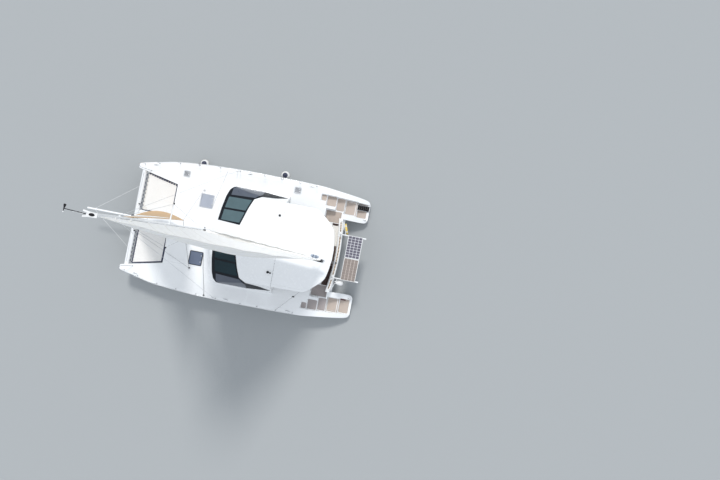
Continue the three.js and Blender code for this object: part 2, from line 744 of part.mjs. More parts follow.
function makeCockpitSeats() {
  // A bench in an L and a table, whose foot plate runs under the bench
  const bench = join(
    block(-3700, -2000, 1250, innerWallY - seat, soleZ + seat, 1270),
    block(-2500, -2000, 620, 1300, soleZ + seat, 1270),
  );
  const top = block(-3500, -2700, 350, 1000, 1520, 1555);
  const leg = block(-3160, -3040, 615, 735, soleZ + seat + 12, 1525);
  const foot = block(-3260, -2940, 530, 1270, soleZ + seat, soleZ + seat + 14);
  add('cockpit_bench', join(bench, top, leg, foot), 'gelcoat');
}

// Helm: a pedestal against the bulkhead, a wheel that faces aft, and a seat
const helmY = -1150;
const wheelZ = 1640;
const wheelRadius = 370;
const wheelX = -2330;

function makeHelm() {
  const pod = across([
    [bulkheadAftX - 50, soleZ + seat], [bulkheadAftX - 50, 1930], [-2080, 1930], [-2230, 1800], [-2230, soleZ + seat],
  ], helmY - 330, helmY + 330);
  const hubHalf = 30;
  const shaft = rod([-2200, helmY, wheelZ], [wheelX + hubHalf + pinPlay, helmY, wheelZ], 28, 16);
  add('helm_console', join(pod, shaft), 'gelcoat');
  const pieces = [
    new THREE.TorusGeometry(wheelRadius, 15, 6, 28).rotateY(Math.PI / 2),
    rod([hubHalf, 0, 0], [-hubHalf, 0, 0], 55, 16),
  ];
  const spokes = 5;
  for (let i = 0; i < spokes; i += 1) {
    const angle = Math.PI / 2 + i * 2 * Math.PI / spokes;
    pieces.push(rod([0, 0, 0], [0, wheelRadius * Math.cos(angle), wheelRadius * Math.sin(angle)], 10, 8));
  }
  add('helm_wheel', join(...pieces).translate(wheelX, helmY, wheelZ), 'steel');
  const cushion = block(-3130, -2760, helmY - 360, helmY + 360, 1440, 1520);
  const stand = block(-3060, -2860, helmY - 260, helmY + 260, soleZ + seat, 1445);
  const back = block(-3170, -3110, helmY - 360, helmY + 360, 1440, 1760);
  add('helm_seat', join(cushion, stand, back), 'gelcoat');
}

function makeSaloonInside() {
  const settee = join(
    block(-600, 1250, 1250, innerWallY - seat, soleZ + seat, 1290),
    block(650, 1250, -500, 1300, soleZ + seat, 1290),
  );
  const table = join(
    block(-450, 450, 250, 1050, 1540, 1580),
    block(-60, 60, 590, 710, soleZ + seat, 1545),
    block(-150, 150, 540, 1270, soleZ + seat, soleZ + seat + 14),
  );
  add('saloon_settee', join(settee, table), 'cushion');
  const galley = block(-1700, 300, -innerWallY + seat, -1300, soleZ + seat, 1450);
  add('galley', galley, 'white');
}

// Davits with the two solar panels between their arms
const davitY = 1105;
const davitRadius = 30;
const panelZ = 2130;
const panelFrame = { front: -5195, aft: -5945 };
const davitArmZ = panelZ - 32;
// The quarter rail runs from the davit arm outboard, then down to the aft beam
const railInner = [-5060, davitY, davitArmZ];
const railOuter = [-4850, 1680, davitArmZ];
const railRadius = 14;
const railFlat = 0.8; // its flats lie this far inside its radius

function makeDavits() {
  const footX = -4768;
  const arm = bentRod([
    [footX, davitY, aftBeamTopZ + 8], [footX, davitY, davitArmZ - 160], [footX - 60, davitY, davitArmZ - 50],
    [footX - 190, davitY, davitArmZ], [-6100, davitY, davitArmZ],
  ], davitRadius, 12);
  const foot = rod([footX, davitY, aftBeamTopZ + seat], [footX, davitY, aftBeamTopZ + 14], 58, 16);
  const end = block(-6105, -6020, davitY - 30, davitY + 30, davitArmZ - 40, davitArmZ + 20);
  const railFoot = [-4690, 1790, aftBeamTopZ + 8];
  const rail = bentRod([railInner, railOuter, railFoot], railRadius, 8);
  const railPlate = rod([railFoot[0], railFoot[1], aftBeamTopZ + seat], [railFoot[0], railFoot[1], aftBeamTopZ + 12], 32, 12);
  addPair('davit', join(arm, foot, end, rail, railPlate), 'spar');
}

function makeSolarPanels() {
  const middle = 8;
  const side = davitY + 30;
  const thickness = 35;
  const z0 = panelZ - 2 + seat;
  for (const [name, y0, y1, paint] of [
    ['solar_panel_starboard', -side, -middle, 'cells'],
    ['solar_panel_port', middle, side, 'cellsBrown'],
  ]) {
    add(name, block(panelFrame.aft, panelFrame.front, y0, y1, z0, z0 + thickness), paint);
  }
  const barEndY = davitY - davitRadius - seat;
  const crossbar = (x) => rod([x, -barEndY, panelZ - 22], [x, barEndY, panelZ - 22], 20, 10);
  const stiffener = block(panelFrame.aft + 30, panelFrame.front - 30, -30, 30, panelZ - 24, panelZ - 2);
  add('panel_frame', join(crossbar(-5330), crossbar(-5810), stiffener), 'spar');
}

// Mast, boom and sails

const lugGap = 64;
const stayUnit = new THREE.Vector3(stayHeadX - stayFootX, 0, houndsZ - stayFootZ).normalize();

function alongStay(distance) {
  return [stayFootX + stayUnit.x * distance, 0, stayFootZ + stayUnit.z * distance];
}

const stayLength = Math.hypot(stayHeadX - stayFootX, houndsZ - stayFootZ);

function stayFootCup() {
  return rod(alongStay(-110), alongStay(-pinPlay), 30, 16);
}

function makeMast() {
  const footZ = deckZ(mastX) + 14;
  const section = ellipse(mastHalfChord, mastHalfWidth, 20);
  const tube = loft([
    section.map(([x, y]) => [mastX + x, y, footZ - 2]),
    section.map(([x, y]) => [mastX + x, y, houndsZ + 200]),
    section.map(([x, y]) => [mastX + x * 0.8, y * 0.75, mastTopZ]),
  ]);
  const heel = onDeck(block(mastX - 160, mastX + 200, -130, 130, seat, 16));
  const pieces = [tube, heel];
  const [tipY, spreaderZ] = [900, 9000];
  for (const side of [-1, 1]) {
    pieces.push(rod([mastX, side * 20, spreaderZ], [mastX - 60, side * tipY, spreaderZ + 60], 38, 10, 22));
    // Tangs for the shrouds
    pieces.push(block(mastX - 70, mastX - 10, side * 40, side * 100, houndsZ - 60, houndsZ + 40));
  }
  // Gooseneck lugs with their pin
  for (const level of [-1, 1]) {
    const z = boomZ + level * (lugGap / 2 + 7);
    pieces.push(block(boomAxisX - 26, mastX, -26, 26, z - 7, z + 7));
  }
  pieces.push(rod([boomAxisX, 0, boomZ - 45], [boomAxisX, 0, boomZ + 45], 13, 16));
  // Where the forestay is carried
  pieces.push(rod(alongStay(stayLength + pinPlay), alongStay(stayLength + 110), 30, 16));
  pieces.push(block(mastX, stayHeadX + 10, -25, 25, houndsZ + 20, houndsZ + 130));
  // Masthead crane and instruments
  pieces.push(block(mastX - 260, mastX + 320, -18, 18, mastTopZ - 90, mastTopZ - 40));
  pieces.push(rod([mastX + 300, 0, mastTopZ - 60], [mastX + 300, 0, mastTopZ + 420], 8, 8));
  add('mast', join(...pieces), 'spar');
}

function makeShrouds() {
  const deckX = 1010;
  const foot = [deckX, 3300, deckZ(deckX) + seat];
  const head = [mastX - 40, 100 + seat + 7, houndsZ - 10];
  const wire = rod([foot[0], foot[1], foot[2] + 20], head, 6, 6);
  const screw = rod([foot[0], foot[1], foot[2] + 20], [mix(foot[0], head[0], 0.03), mix(foot[1], head[1], 0.03),
    mix(foot[2], head[2], 0.03)], 16, 10);
  const plate = onDeck(block(deckX - 60, deckX + 60, 3280, 3320, seat, 45));
  addPair('shroud', join(wire, screw, plate), 'steel');
}

// The boom and mainsail are drawn aft along the centreline from the gooseneck pin, then sheeted out to port
function sheetedOut(geometry) {
  return geometry.rotateZ(-sheetAngle).translate(boomAxisX, 0, 0);
}

const boomHalfHeight = 110;
const boomHalfWidth = 75;
const boomRise = 0.02; // how much higher it gets for each millimetre aft

function makeBoom() {
  const section = ellipse(boomHalfWidth, boomHalfHeight, 16);
  const ringAt = (x, size) => section.map(([y, z]) => [x, y * size, boomZ + z * size - boomRise * x]);
  const spar = loft([ringAt(-70, 0.8), ringAt(-200, 1), ringAt(-boomLength + 150, 1), ringAt(-boomLength, 0.8)]);
  const thick = lugGap - 2 * pinPlay;
  const tongue = join(
    rod([0, 0, boomZ - thick / 2], [0, 0, boomZ + thick / 2], 30, 24),
    block(-120, 0, -28, 28, boomZ - thick / 2, boomZ + thick / 2),
  );
  const pin = rod([0, 0, boomZ - 60], [0, 0, boomZ + 60], 13 + pinPlay, 24);
  add('boom', sheetedOut(cut(join(tongue, spar), pin)), 'spar');
}

// A sail as a thin closed body: for each height a row of points from luff to leech, port side then starboard
function sailBody(rows, thickness) {
  return loft(rows.map((row) => {
    const port = row.map(([x, y, z]) => [x, y + thickness / 2, z]);
    const starboard = row.slice().reverse().map(([x, y, z]) => [x, y - thickness / 2, z]);
    return [...port, ...starboard];
  }));
}

const sailThickness = 12;

function makeMainsail() {
  const tackZ = boomZ + boomHalfHeight + seat;
  const headZ = mastTopZ - 260;
  const [heights, chords] = [12, 8];
  const foot = boomLength - 190;
  const luffGap = 12;
  const rows = [];
  for (let i = 0; i <= heights; i += 1) {
    const up = i / heights;
    const chord = foot * (1 - up) + 1500 * up * (1 - up) + 170 * up;
    const camber = 0.115 * chord * Math.sin(Math.PI * Math.min(1, up * 3.2) / 2);
    const twist = 0.10 * up;
    const row = [];
    for (let j = 0; j <= chords; j += 1) {
      const t = j / chords;
      const belly = camber * 4 * t * (1 - t) * (1.25 - 0.5 * t);
      const x = -luffGap - chord * t;
      row.push([x, belly + chord * t * twist, mix(tackZ, headZ, up) - (1 - up) * boomRise * x]);
    }
    rows.push(row);
  }
  add('mainsail', sheetedOut(sailBody(rows, sailThickness)), 'sail');
}

const foilRadius = 18;
const clew = { x: 2972, y: -285, z: 2500 };

function makeFurler() {
  const foilTube = rod(alongStay(0), alongStay(stayLength), foilRadius, 12);
  const drum = rod(alongStay(60), alongStay(190), 95, 20);
  const swivel = rod(alongStay(stayLength - 420), alongStay(stayLength - 320), 34, 14);
  add('furler', join(foilTube, drum, swivel), 'spar');
}

function makeJib() {
  const [heights, chords] = [10, 8];
  const luffStart = 330;
  const luffEnd = stayLength - 480;
  const rows = [];
  for (let i = 0; i <= heights; i += 1) {
    const up = i / heights;
    const luff = alongStay(mix(luffStart, luffEnd, up));
    const headLuff = alongStay(luffEnd);
    const leech = [
      mix(clew.x, headLuff[0] - 70, up) + 90 * Math.sin(Math.PI * up),
      mix(clew.y, 0, up) - 110 * Math.sin(Math.PI * up),
      mix(clew.z, headLuff[2], up),
    ];
    const chord = Math.hypot(luff[0] - leech[0], luff[1] - leech[1]);
    // Fullest along the foot, where the loose skirt blows out to leeward
    const camber = chord * (0.058 + 0.082 * (1 - up) ** 9);
    const row = [];
    for (let j = 0; j <= chords; j += 1) {
      const t = j / chords;
      const belly = camber * 4 * t * (1 - t) * (1.2 - 0.4 * t);
      const footSag = (1 - up) ** 6 * 150 * Math.sin(Math.PI * t);
      row.push([
        mix(luff[0] - foilRadius - seat, leech[0], t),
        mix(luff[1], leech[1], t) - belly,
        mix(luff[2], leech[2], t) - footSag,
      ]);
    }
    rows.push(row);
  }
  add('jib', sailBody(rows, sailThickness), 'sail');
}

// Rails, fenders and what hangs on them

const railPosts = [4980, 3950, 2950, 1900, 883, -396, -1265, -2240, -3110];
const railHeight = 600;

function gunwaleY(x) {
  const after = hullStations.findIndex((row) => row[0] <= x);
  const [a, b] = [hullStations[after - 1], hullStations[after]];
  return mix(a[2], b[2], (x - a[0]) / (b[0] - a[0]));
}

function makeLifelines() {
  const fromEdge = 75;
  const pieces = [];
  const tops = [];
  const halves = [];
  for (const x of railPosts) {
    const y = gunwaleY(x) - fromEdge;
    const z = deckZ(x);
    pieces.push(rod([x, y, z + 20], [x, y, z + railHeight], 12, 6));
    pieces.push(onDeck(rod([x, y, seat], [x, y, 34], 28, 8)));
    tops.push([x, y, z + railHeight - 8]);
    halves.push([x, y, z + railHeight * 0.52]);
  }
  pieces.push(bentRod(tops, 5, 5), bentRod(halves, 5, 5));
  // Bow rail round the tip of the hull
  const bow = [
    tops[0], [5700, gunwaleY(5700) - 95, deckZ(5700) + railHeight - 8], [5860, 2645, deckZ(5860) + railHeight - 8],
    [5700, hullInnerY(5700) + 70, deckZ(5700) + railHeight - 8], [5330, 2480, deckZ(5330) + 20],
  ];
  pieces.push(bentRod(bow, 13, 6));
  pieces.push(rod([5700, gunwaleY(5700) - 95, deckZ(5700) + 20], bow[1], 12, 6));
  for (const [x, y] of [[5330, 2480], [5700, gunwaleY(5700) - 95]]) {
    pieces.push(onDeck(rod([x, y, seat], [x, y, 34], 28, 8)));
  }
  addPair('lifelines', join(...pieces), 'steel');
}

function makeFenders() {
  // Each ball hangs in the flare of the topsides: place along the boat, height, and how far out its middle is
  const radius = 225;
  for (const [name, x, z, y] of [['fender_forward', 3000, 400, 3424], ['fender_aft', -1338, 750, 3597]]) {
    const side = gunwaleY(x);
    const ball = new THREE.SphereGeometry(radius, 14, 9).rotateX(Math.PI / 2).translate(x, y, z);
    const eye = rod([x, y, z + radius - 15], [x, y, z + radius + 45], 32, 8);
    const rope = bentRod([
      [x, y, z + radius + 30],
      [x, side + 25, deckZ(x) - 20],
      [x, side - 20, deckZ(x) + 26],
      [x, side - 140, deckZ(x) + 7.3],
    ], 8, 6);
    add(name, mirrored(join(ball, eye, rope)), 'white');
  }
}

function makeLifebuoy() {
  // A horseshoe, open end down, that hangs flat against the aft side of the quarter rail
  const [halfWidth, halfHeight, halfThick] = [235, 250, 60];
  const points = [];
  for (let i = 0; i <= 12; i += 1) {
    const angle = Math.PI * (-0.28 + 1.56 * i / 12);
    points.push(new THREE.Vector3(0, halfWidth * Math.cos(angle), halfHeight * Math.sin(angle)));
  }
  const path = new THREE.CatmullRomCurve3(points);
  const section = shapeOf(ellipse(halfThick, 48, 8));
  const ring = new THREE.ExtrudeGeometry(section, { steps: 14, bevelEnabled: false, extrudePath: path });
  const run = new THREE.Vector2(railOuter[0] - railInner[0], railOuter[1] - railInner[1]).normalize();
  const away = halfThick + railRadius - railFlat;
  const middle = [mix(railInner[0], railOuter[0], 0.5) - run.y * away, mix(railInner[1], railOuter[1], 0.5) + run.x * away];
  ring.rotateZ(-Math.atan2(run.x, run.y)).translate(middle[0], middle[1], davitArmZ - halfHeight);
  add('lifebuoy', mirrored(ring), 'yellow');
}

function makeOutboard() {
  // A small outboard motor stowed on the port quarter rail
  const [x, y, z] = [-5200, 1320, 1960];
  const cowl = new THREE.SphereGeometry(1, 14, 9).scale(180, 125, 160).translate(x, y, z);
  const leg = block(x - 30, x + 50, y - 45, y + 45, z - 720, z - 80);
  const foot = rod([x - 150, y, z - 690], [x + 140, y, z - 690], 45, 12, 30);
  const clampZ = davitArmZ + railRadius - railFlat + seat;
  const clamp = block(x + 60, x + 260, y - 60, y + 60, clampZ, clampZ + 26);
  const neck = block(x + 40, x + 110, y - 60, y + 60, z + 60, clampZ + 26);
  add('outboard', join(cowl, leg, foot, clamp, neck), 'white');
}

function makeLadder() {
  // Folded forward, its rails lean on the edge of the step above the platform
  const { x, z, inner, outer, railRadius: rail, eyeRadius } = ladder;
  const [edgeX, edgeZ] = [sternSteps[3][1], sternSteps[3][4]];
  const lean = Math.atan2(edgeZ - z, edgeX - x) + Math.asin((rail + 1) / Math.hypot(edgeX - x, edgeZ - z));
  const end = [x + ladder.length * Math.cos(lean), z + ladder.length * Math.sin(lean)];
  const pieces = [];
  for (const y of [inner, outer]) {
    pieces.push(rod([x, y, z], [end[0], y, end[1]], rail, 8));
    pieces.push(rod([x, y - rail, z], [x, y + rail, z], eyeRadius, 16));
  }
  const treadCount = 4;
  for (let i = 0; i < treadCount; i += 1) {
    const share = mix(0.2, 0.95, i / (treadCount - 1));
    const tread = block(-45, 45, inner, outer, -9, 11).rotateY(-lean);
    pieces.push(tread.translate(mix(x, end[0], share), 0, mix(z, end[1], share)));
  }
  const bore = rod([x, inner - 50, z], [x, outer + 50, z], ladder.pinRadius + pinPlay, 16);
  add('swim_ladder', mirrored(cut(join(...pieces), bore)), 'dark');
}

function makeHatches() {
  addPair('hatch_fore', hatchLid(foreHatch), 'glass');
  for (const hatch of smallHatches) add(hatch.name, mirrored(hatchLid(hatch)), 'glass');
  const { front, aft, inner, outer, thickness } = engineLid;
  const stepZ = sternSteps[3][4];
  addPair('engine_hatch', block(aft, front, inner, outer, stepZ + seat, stepZ + seat + thickness), 'gelcoat');
}

makeHulls();
makeKeels();
makeRudders();
makeEngines();
makeDrives();
makePropellers();
makeBridgeDeck();
makeCatwalk();
makeCrossbeam();
makeBowsprit();
makeTrampolines();
makeCoachroof();
makeBulkhead();
makeHardtop();
makeAftBench();
makeCockpitSeats();
makeHelm();
makeSaloonInside();
makeDavits();
makeSolarPanels();
makeMast();
makeShrouds();
makeBoom();
makeMainsail();
makeFurler();
makeJib();
makeLifelines();
makeFenders();
makeLifebuoy();
makeOutboard();
makeLadder();
makeHatches();

export default catamaran;
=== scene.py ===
"""Blender looks for the sailing catamaran. Metres, +X forward, +Y to port, +Z up, waterline at z = 0."""
import bisect
import json
import math

import bmesh
import bpy
from mathutils import Matrix, Vector

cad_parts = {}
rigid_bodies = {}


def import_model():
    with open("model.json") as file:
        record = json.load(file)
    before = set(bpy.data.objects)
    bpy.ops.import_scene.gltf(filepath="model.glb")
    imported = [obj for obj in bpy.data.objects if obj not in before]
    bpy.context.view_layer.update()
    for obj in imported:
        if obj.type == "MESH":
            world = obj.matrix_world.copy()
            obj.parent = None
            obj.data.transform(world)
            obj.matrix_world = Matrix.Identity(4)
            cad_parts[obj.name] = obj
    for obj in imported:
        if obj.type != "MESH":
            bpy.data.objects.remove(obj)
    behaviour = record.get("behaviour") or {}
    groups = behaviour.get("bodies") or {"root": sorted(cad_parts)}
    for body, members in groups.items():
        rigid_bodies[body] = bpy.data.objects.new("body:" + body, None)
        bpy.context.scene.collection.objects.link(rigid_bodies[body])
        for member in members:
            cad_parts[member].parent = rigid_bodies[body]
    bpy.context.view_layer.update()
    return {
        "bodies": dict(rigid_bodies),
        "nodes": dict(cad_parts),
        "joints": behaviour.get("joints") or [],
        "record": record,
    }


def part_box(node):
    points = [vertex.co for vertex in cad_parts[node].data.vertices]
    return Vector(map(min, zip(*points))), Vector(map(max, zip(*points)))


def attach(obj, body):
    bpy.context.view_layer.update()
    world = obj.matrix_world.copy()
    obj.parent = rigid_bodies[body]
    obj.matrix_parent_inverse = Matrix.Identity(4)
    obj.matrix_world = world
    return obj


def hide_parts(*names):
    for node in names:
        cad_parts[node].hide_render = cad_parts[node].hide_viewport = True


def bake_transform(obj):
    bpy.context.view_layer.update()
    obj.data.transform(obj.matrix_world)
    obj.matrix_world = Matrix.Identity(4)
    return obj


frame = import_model()
nodes = frame["nodes"]
BOAT = "boat"
PORT, STARBOARD = 1, -1
SIDES = (("port", PORT), ("starboard", STARBOARD))

# Deck plane and the main heights, as in the solids
DECK_LOW_X, DECK_LOW_Z, DECK_SLOPE = -3.4, 1.430, 0.015
INNER_WALL_Y = 1.9
SOLE_Z = 0.85
BEAM_X, BEAM_Z, BEAM_RADIUS = 5.7, 1.4, 0.125
BRIDGE_FRONT_X = 3.8763
MAST_X, MAST_TOP_Z, SPREADER_Z = 1.9, 17.4, 9.06
BOOM_AXIS = Vector((1.71, 0, 3.8))
SHEET_ANGLE = math.radians(3.4)
BOOM_LENGTH = 6.0
STAY_FOOT = Vector((5.7, 0, 1.88))
STAY_HEAD = Vector((2.11, 0, 15.0))
RUDDER_X, RUDDER_Y = -5.56, 2.55
QUARTER_RAIL_Z = 2.098

# Pulley blocks on the foredeck and the cross beam, and the foot of the mainsheet on the aft beam
SHEET_BLOCK_X, SHEET_BLOCK_Y = 2.48, 2.04
BEAM_BLOCK = Vector((5.60, 0.69, 1.522))
MAINSHEET_FOOT_Y = 0.36


def deck_z(x):
    return DECK_LOW_Z + (x - DECK_LOW_X) * DECK_SLOPE


def deck_lift(x, _):
    return deck_z(x)


# Mesh helpers

def mix(a, b, share):
    return a + (b - a) * share


def spread(a, b, steps):
    """Even steps from a to b, with both ends."""
    return [mix(a, b, k / steps) for k in range(steps + 1)]


def angles(count):
    """Angles that divide a full turn evenly."""
    return [2 * math.pi * k / count for k in range(count)]


def upright_ring(centre, radius, count):
    """A circle in the plane along the boat, for the rings and eyes in the sails."""
    return [centre + Vector((radius * math.cos(a), 0, radius * math.sin(a))) for a in angles(count)]


def hermite(t, width, start, end, slope_in, slope_out):
    return ((1 + 2 * t) * (1 - t) ** 2 * start + t * (1 - t) ** 2 * width * slope_in
            + t * t * (3 - 2 * t) * end + t * t * (t - 1) * width * slope_out)


def span_of(knots, x):
    """The number of the span between knots that holds x, and the span's width."""
    i = min(max(bisect.bisect_right(knots, x) - 1, 0), len(knots) - 2)
    return i, knots[i + 1] - knots[i]


def smooth_through(knots, values):
    """A smooth function through the points that never overshoots them; knots rise."""
    steps = [(values[i + 1] - values[i]) / (knots[i + 1] - knots[i]) for i in range(len(knots) - 1)]
    slopes = [steps[0]]
    for a, b in zip(steps, steps[1:]):
        slopes.append(0.0 if a * b <= 0 else 2 * a * b / (a + b))
    slopes.append(steps[-1])

    def at(x):
        i, width = span_of(knots, x)
        t = min(max((x - knots[i]) / width, 0.0), 1.0)
        return hermite(t, width, values[i], values[i + 1], slopes[i], slopes[i + 1])
    return at


def curve_points(points, steps):
    """Points on a smooth curve through the given ones."""
    places = [Vector(p) for p in points]
    knots = [0.0]
    for a, b in zip(places, places[1:]):
        knots.append(knots[-1] + max((b - a).length, 1e-6))
    tangents = []
    for i in range(len(places)):
        before, after = max(i - 1, 0), min(i + 1, len(places) - 1)
        tangents.append((places[after] - places[before]) / (knots[after] - knots[before]))
    out = []
    for k in range(steps + 1):
        d = knots[-1] * k / steps
        i, width = span_of(knots, d)
        t = (d - knots[i]) / width
        out.append(hermite(t, width, places[i], places[i + 1], tangents[i], tangents[i + 1]))
    return out


class Bits:
    """Collects small shapes into one mesh, each with its own material."""

    def __init__(self):
        self.points, self.faces, self.kinds = [], [], []

    def add(self, points, faces, kind=0):
        base = len(self.points)
        self.points.extend(tuple(p) for p in points)
        self.faces.extend(tuple(base + i for i in face) for face in faces)
        self.kinds.extend([kind] * len(faces))

    def loft(self, rings, kind=0, closed=True, caps=True):
        count = len(rings[0])
        faces = []
        reach = count if closed else count - 1
        for r in range(len(rings) - 1):
            for i in range(reach):
                j = (i + 1) % count
                faces.append((r * count + i, r * count + j, (r + 1) * count + j, (r + 1) * count + i))
        if caps:
            faces.append(tuple(reversed(range(count))))
            faces.append(tuple((len(rings) - 1) * count + i for i in range(count)))
        self.add([p for ring in rings for p in ring], faces, kind)

    def tube(self, path, radius, sides=8, kind=0, loop=False):
        places = [Vector(p) for p in path]
        count = len(places)
        radii = radius if isinstance(radius, (list, tuple)) else [radius] * count
        heading = [(places[(i + 1) % count if loop else min(i + 1, count - 1)]
                    - places[(i - 1) % count if loop else max(i - 1, 0)]).normalized() for i in range(count)]
        side = heading[0].orthogonal().normalized()
        rings = []
        for i in range(count):
            side = (side - heading[i] * side.dot(heading[i])).normalized()
            other = heading[i].cross(side)
            rings.append([places[i] + (side * math.cos(a) + other * math.sin(a)) * radii[i]
                          for a in angles(sides)])
        if loop:
            rings.append(rings[0])
        self.loft(rings, kind, caps=not loop)

    def turned(self, profile, origin=(0, 0, 0), axis=(0, 0, 1), sides=20, kind=0):
        """A profile of (radius, height) pairs turned round an axis."""
        turn = Vector((0, 0, 1)).rotation_difference(Vector(axis).normalized())
        rings = []
        for radius, height in profile:
            radius = max(radius, 1e-4)
            ring = [Vector((radius * math.cos(a), radius * math.sin(a), height)) for a in angles(sides)]
            rings.append([Vector(origin) + turn @ p for p in ring])
        self.loft(rings, kind)

    def disc(self, centre, axis, radius, half, sides, kind):
        self.turned([(0, -half), (radius, -half), (radius, half), (0, half)], centre, axis, sides, kind)

    def bush(self, centre, axis, hole, radius, half, kind=0):
        """A short thick tube round a pin."""
        section = [(hole, -half), (radius, -half), (radius, half), (hole, half), (hole, -half)]
        self.turned(section, centre, axis, 20, kind)

    def block(self, low, high, edge=0.004, kind=0, matrix=None):
        """A box with rounded edges."""
        shape = bmesh.new()
        bmesh.ops.create_cube(shape, size=1)
        low, high = Vector(low), Vector(high)
        for v in shape.verts:
            v.co = Vector([mix(low[k], high[k], v.co[k] + 0.5) for k in range(3)])
        edge = min(edge, 0.45 * min(high - low))
        if edge > 0:
            bmesh.ops.bevel(shape, geom=shape.edges[:], offset=edge, segments=2, affect="EDGES", profile=0.5)
        if matrix is not None:
            bmesh.ops.transform(shape, matrix=matrix, verts=shape.verts[:])
        shape.verts.index_update()
        self.add([v.co for v in shape.verts], [[v.index for v in f.verts] for f in shape.faces], kind)
        shape.free()

    def plate(self, outline, z0, z1, edge=0.003, kind=0, lift=None):
        """An upright prism of a flat outline with an eased top edge; lift gives the height to add at x, y."""
        outline = counter_clockwise(outline)
        inner = inset(outline, edge)
        rings = [[(x, y, z0) for x, y in outline], [(x, y, z1 - edge) for x, y in outline],
                 [(x, y, z1) for x, y in inner]]
        if lift:
            rings = [[(x, y, z + lift(x, y)) for x, y, z in ring] for ring in rings]
        self.loft(rings, kind)

    def mirror(self):
        """The same shapes on the other side of the centre plane."""
        other = Bits()
        other.points = [(x, -y, z) for x, y, z in self.points]
        other.faces = [tuple(reversed(face)) for face in self.faces]
        other.kinds = list(self.kinds)
        return other

    def make(self, name, materials, body=BOAT, slot="gelcoat_white", angle=38, replaced=()):
        obj = new_object(name, self)
        mesh = obj.data
        mesh.validate()
        materials = materials if isinstance(materials, (list, tuple)) else [materials]
        for material in materials:
            mesh.materials.append(material)
        if len(self.kinds) == len(mesh.polygons):
            mesh.polygons.foreach_set("material_index", self.kinds)
        soften(obj, angle)
        return place(obj, body, slot, replaced)


def new_object(name, bits):
    mesh = bpy.data.meshes.new(name)
    mesh.from_pydata([tuple(p) for p in bits.points], [], bits.faces)
    obj = bpy.data.objects.new(name, mesh)
    bpy.context.scene.collection.objects.link(obj)
    return obj


def place(obj, body, slot, replaced=()):
    """The piece rides on its body; body is None for a piece that is left on no body."""
    if body:
        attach(obj, body)
    if replaced:
        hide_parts(*replaced)
    return obj


def soften(obj, angle=38):
    """Smooth shading, with edges sharper than the angle kept crisp, and all faces turned outward."""
    shape = bmesh.new()
    shape.from_mesh(obj.data)
    bmesh.ops.recalc_face_normals(shape, faces=shape.faces[:])
    limit = math.radians(angle)
    for face in shape.faces:
        face.smooth = True
    for edge in shape.edges:
        edge.smooth = len(edge.link_faces) == 2 and edge.calc_face_angle(0.0) < limit
    shape.to_mesh(obj.data)
    shape.free()


def counter_clockwise(points):
    area = sum(a[0] * b[1] - b[0] * a[1] for a, b in zip(points, points[1:] + points[:1]))
    return list(points) if area > 0 else list(reversed(points))


def inset(points, distance):
    """The outline with each edge moved inward; the outline runs counter-clockwise."""
    out = []
    count = len(points)
    for i, (x, y) in enumerate(points):
        a = Vector((x - points[i - 1][0], y - points[i - 1][1]))
        b = Vector((points[(i + 1) % count][0] - x, points[(i + 1) % count][1] - y))
        a, b = a.normalized(), b.normalized()
        normal = Vector((-a.y - b.y, a.x + b.x))
        normal = normal.normalized() if normal.length > 1e-9 else Vector((-a.y, a.x))
        reach = distance / max(0.35, normal.dot(Vector((-a.y, a.x))))
        out.append((x + normal.x * reach, y + normal.y * reach))
    return out


def rounded(points, radius, steps=5):
    """The outline with its corners rounded."""
    points = counter_clockwise(points)
    out = []
    count = len(points)
    for i, corner in enumerate(points):
        here, before, after = Vector(corner), Vector(points[i - 1]), Vector(points[(i + 1) % count])
        into, onward = (before - here), (after - here)
        reach = min(radius, 0.45 * into.length, 0.45 * onward.length)
        start, end = here + into.normalized() * reach, here + onward.normalized() * reach
        for k in range(steps + 1):
            t = k / steps
            out.append(tuple((1 - t) ** 2 * start + 2 * t * (1 - t) * here + t * t * end))
    return out


def rectangle(x0, x1, y0, y1):
    return [(x0, y0), (x1, y0), (x1, y1), (x0, y1)]


def with_mirror(half_outline):
    """The whole outline from one half of it, mirrored across its middle line."""
    return half_outline + [(x, -y) for x, y in reversed(half_outline)]


def hidden(bits, name):
    """A mesh object that is cut, or cuts another, before it is a piece."""
    obj = new_object(name, bits)
    soften(obj)
    return obj


def finish_piece(obj, name, material, slot, replaced=()):
    """Makes a piece of an object that was cut to shape."""
    obj.name = name
    obj.data.materials.clear()
    obj.data.materials.append(material)
    soften(obj, 32)
    place(obj, BOAT, slot, replaced)


def apply_modifiers(obj):
    bpy.context.view_layer.update()
    made = obj.evaluated_get(bpy.context.evaluated_depsgraph_get())
    mesh = bpy.data.meshes.new_from_object(made)
    obj.modifiers.clear()
    obj.data = mesh


def boolean(obj, cutters, operation="DIFFERENCE"):
    for cutter in cutters:
        step = obj.modifiers.new("cut", "BOOLEAN")
        step.operation = operation
        step.solver = "EXACT"
        step.object = cutter
    apply_modifiers(obj)
    for cutter in cutters:
        bpy.data.objects.remove(cutter)


# Materials

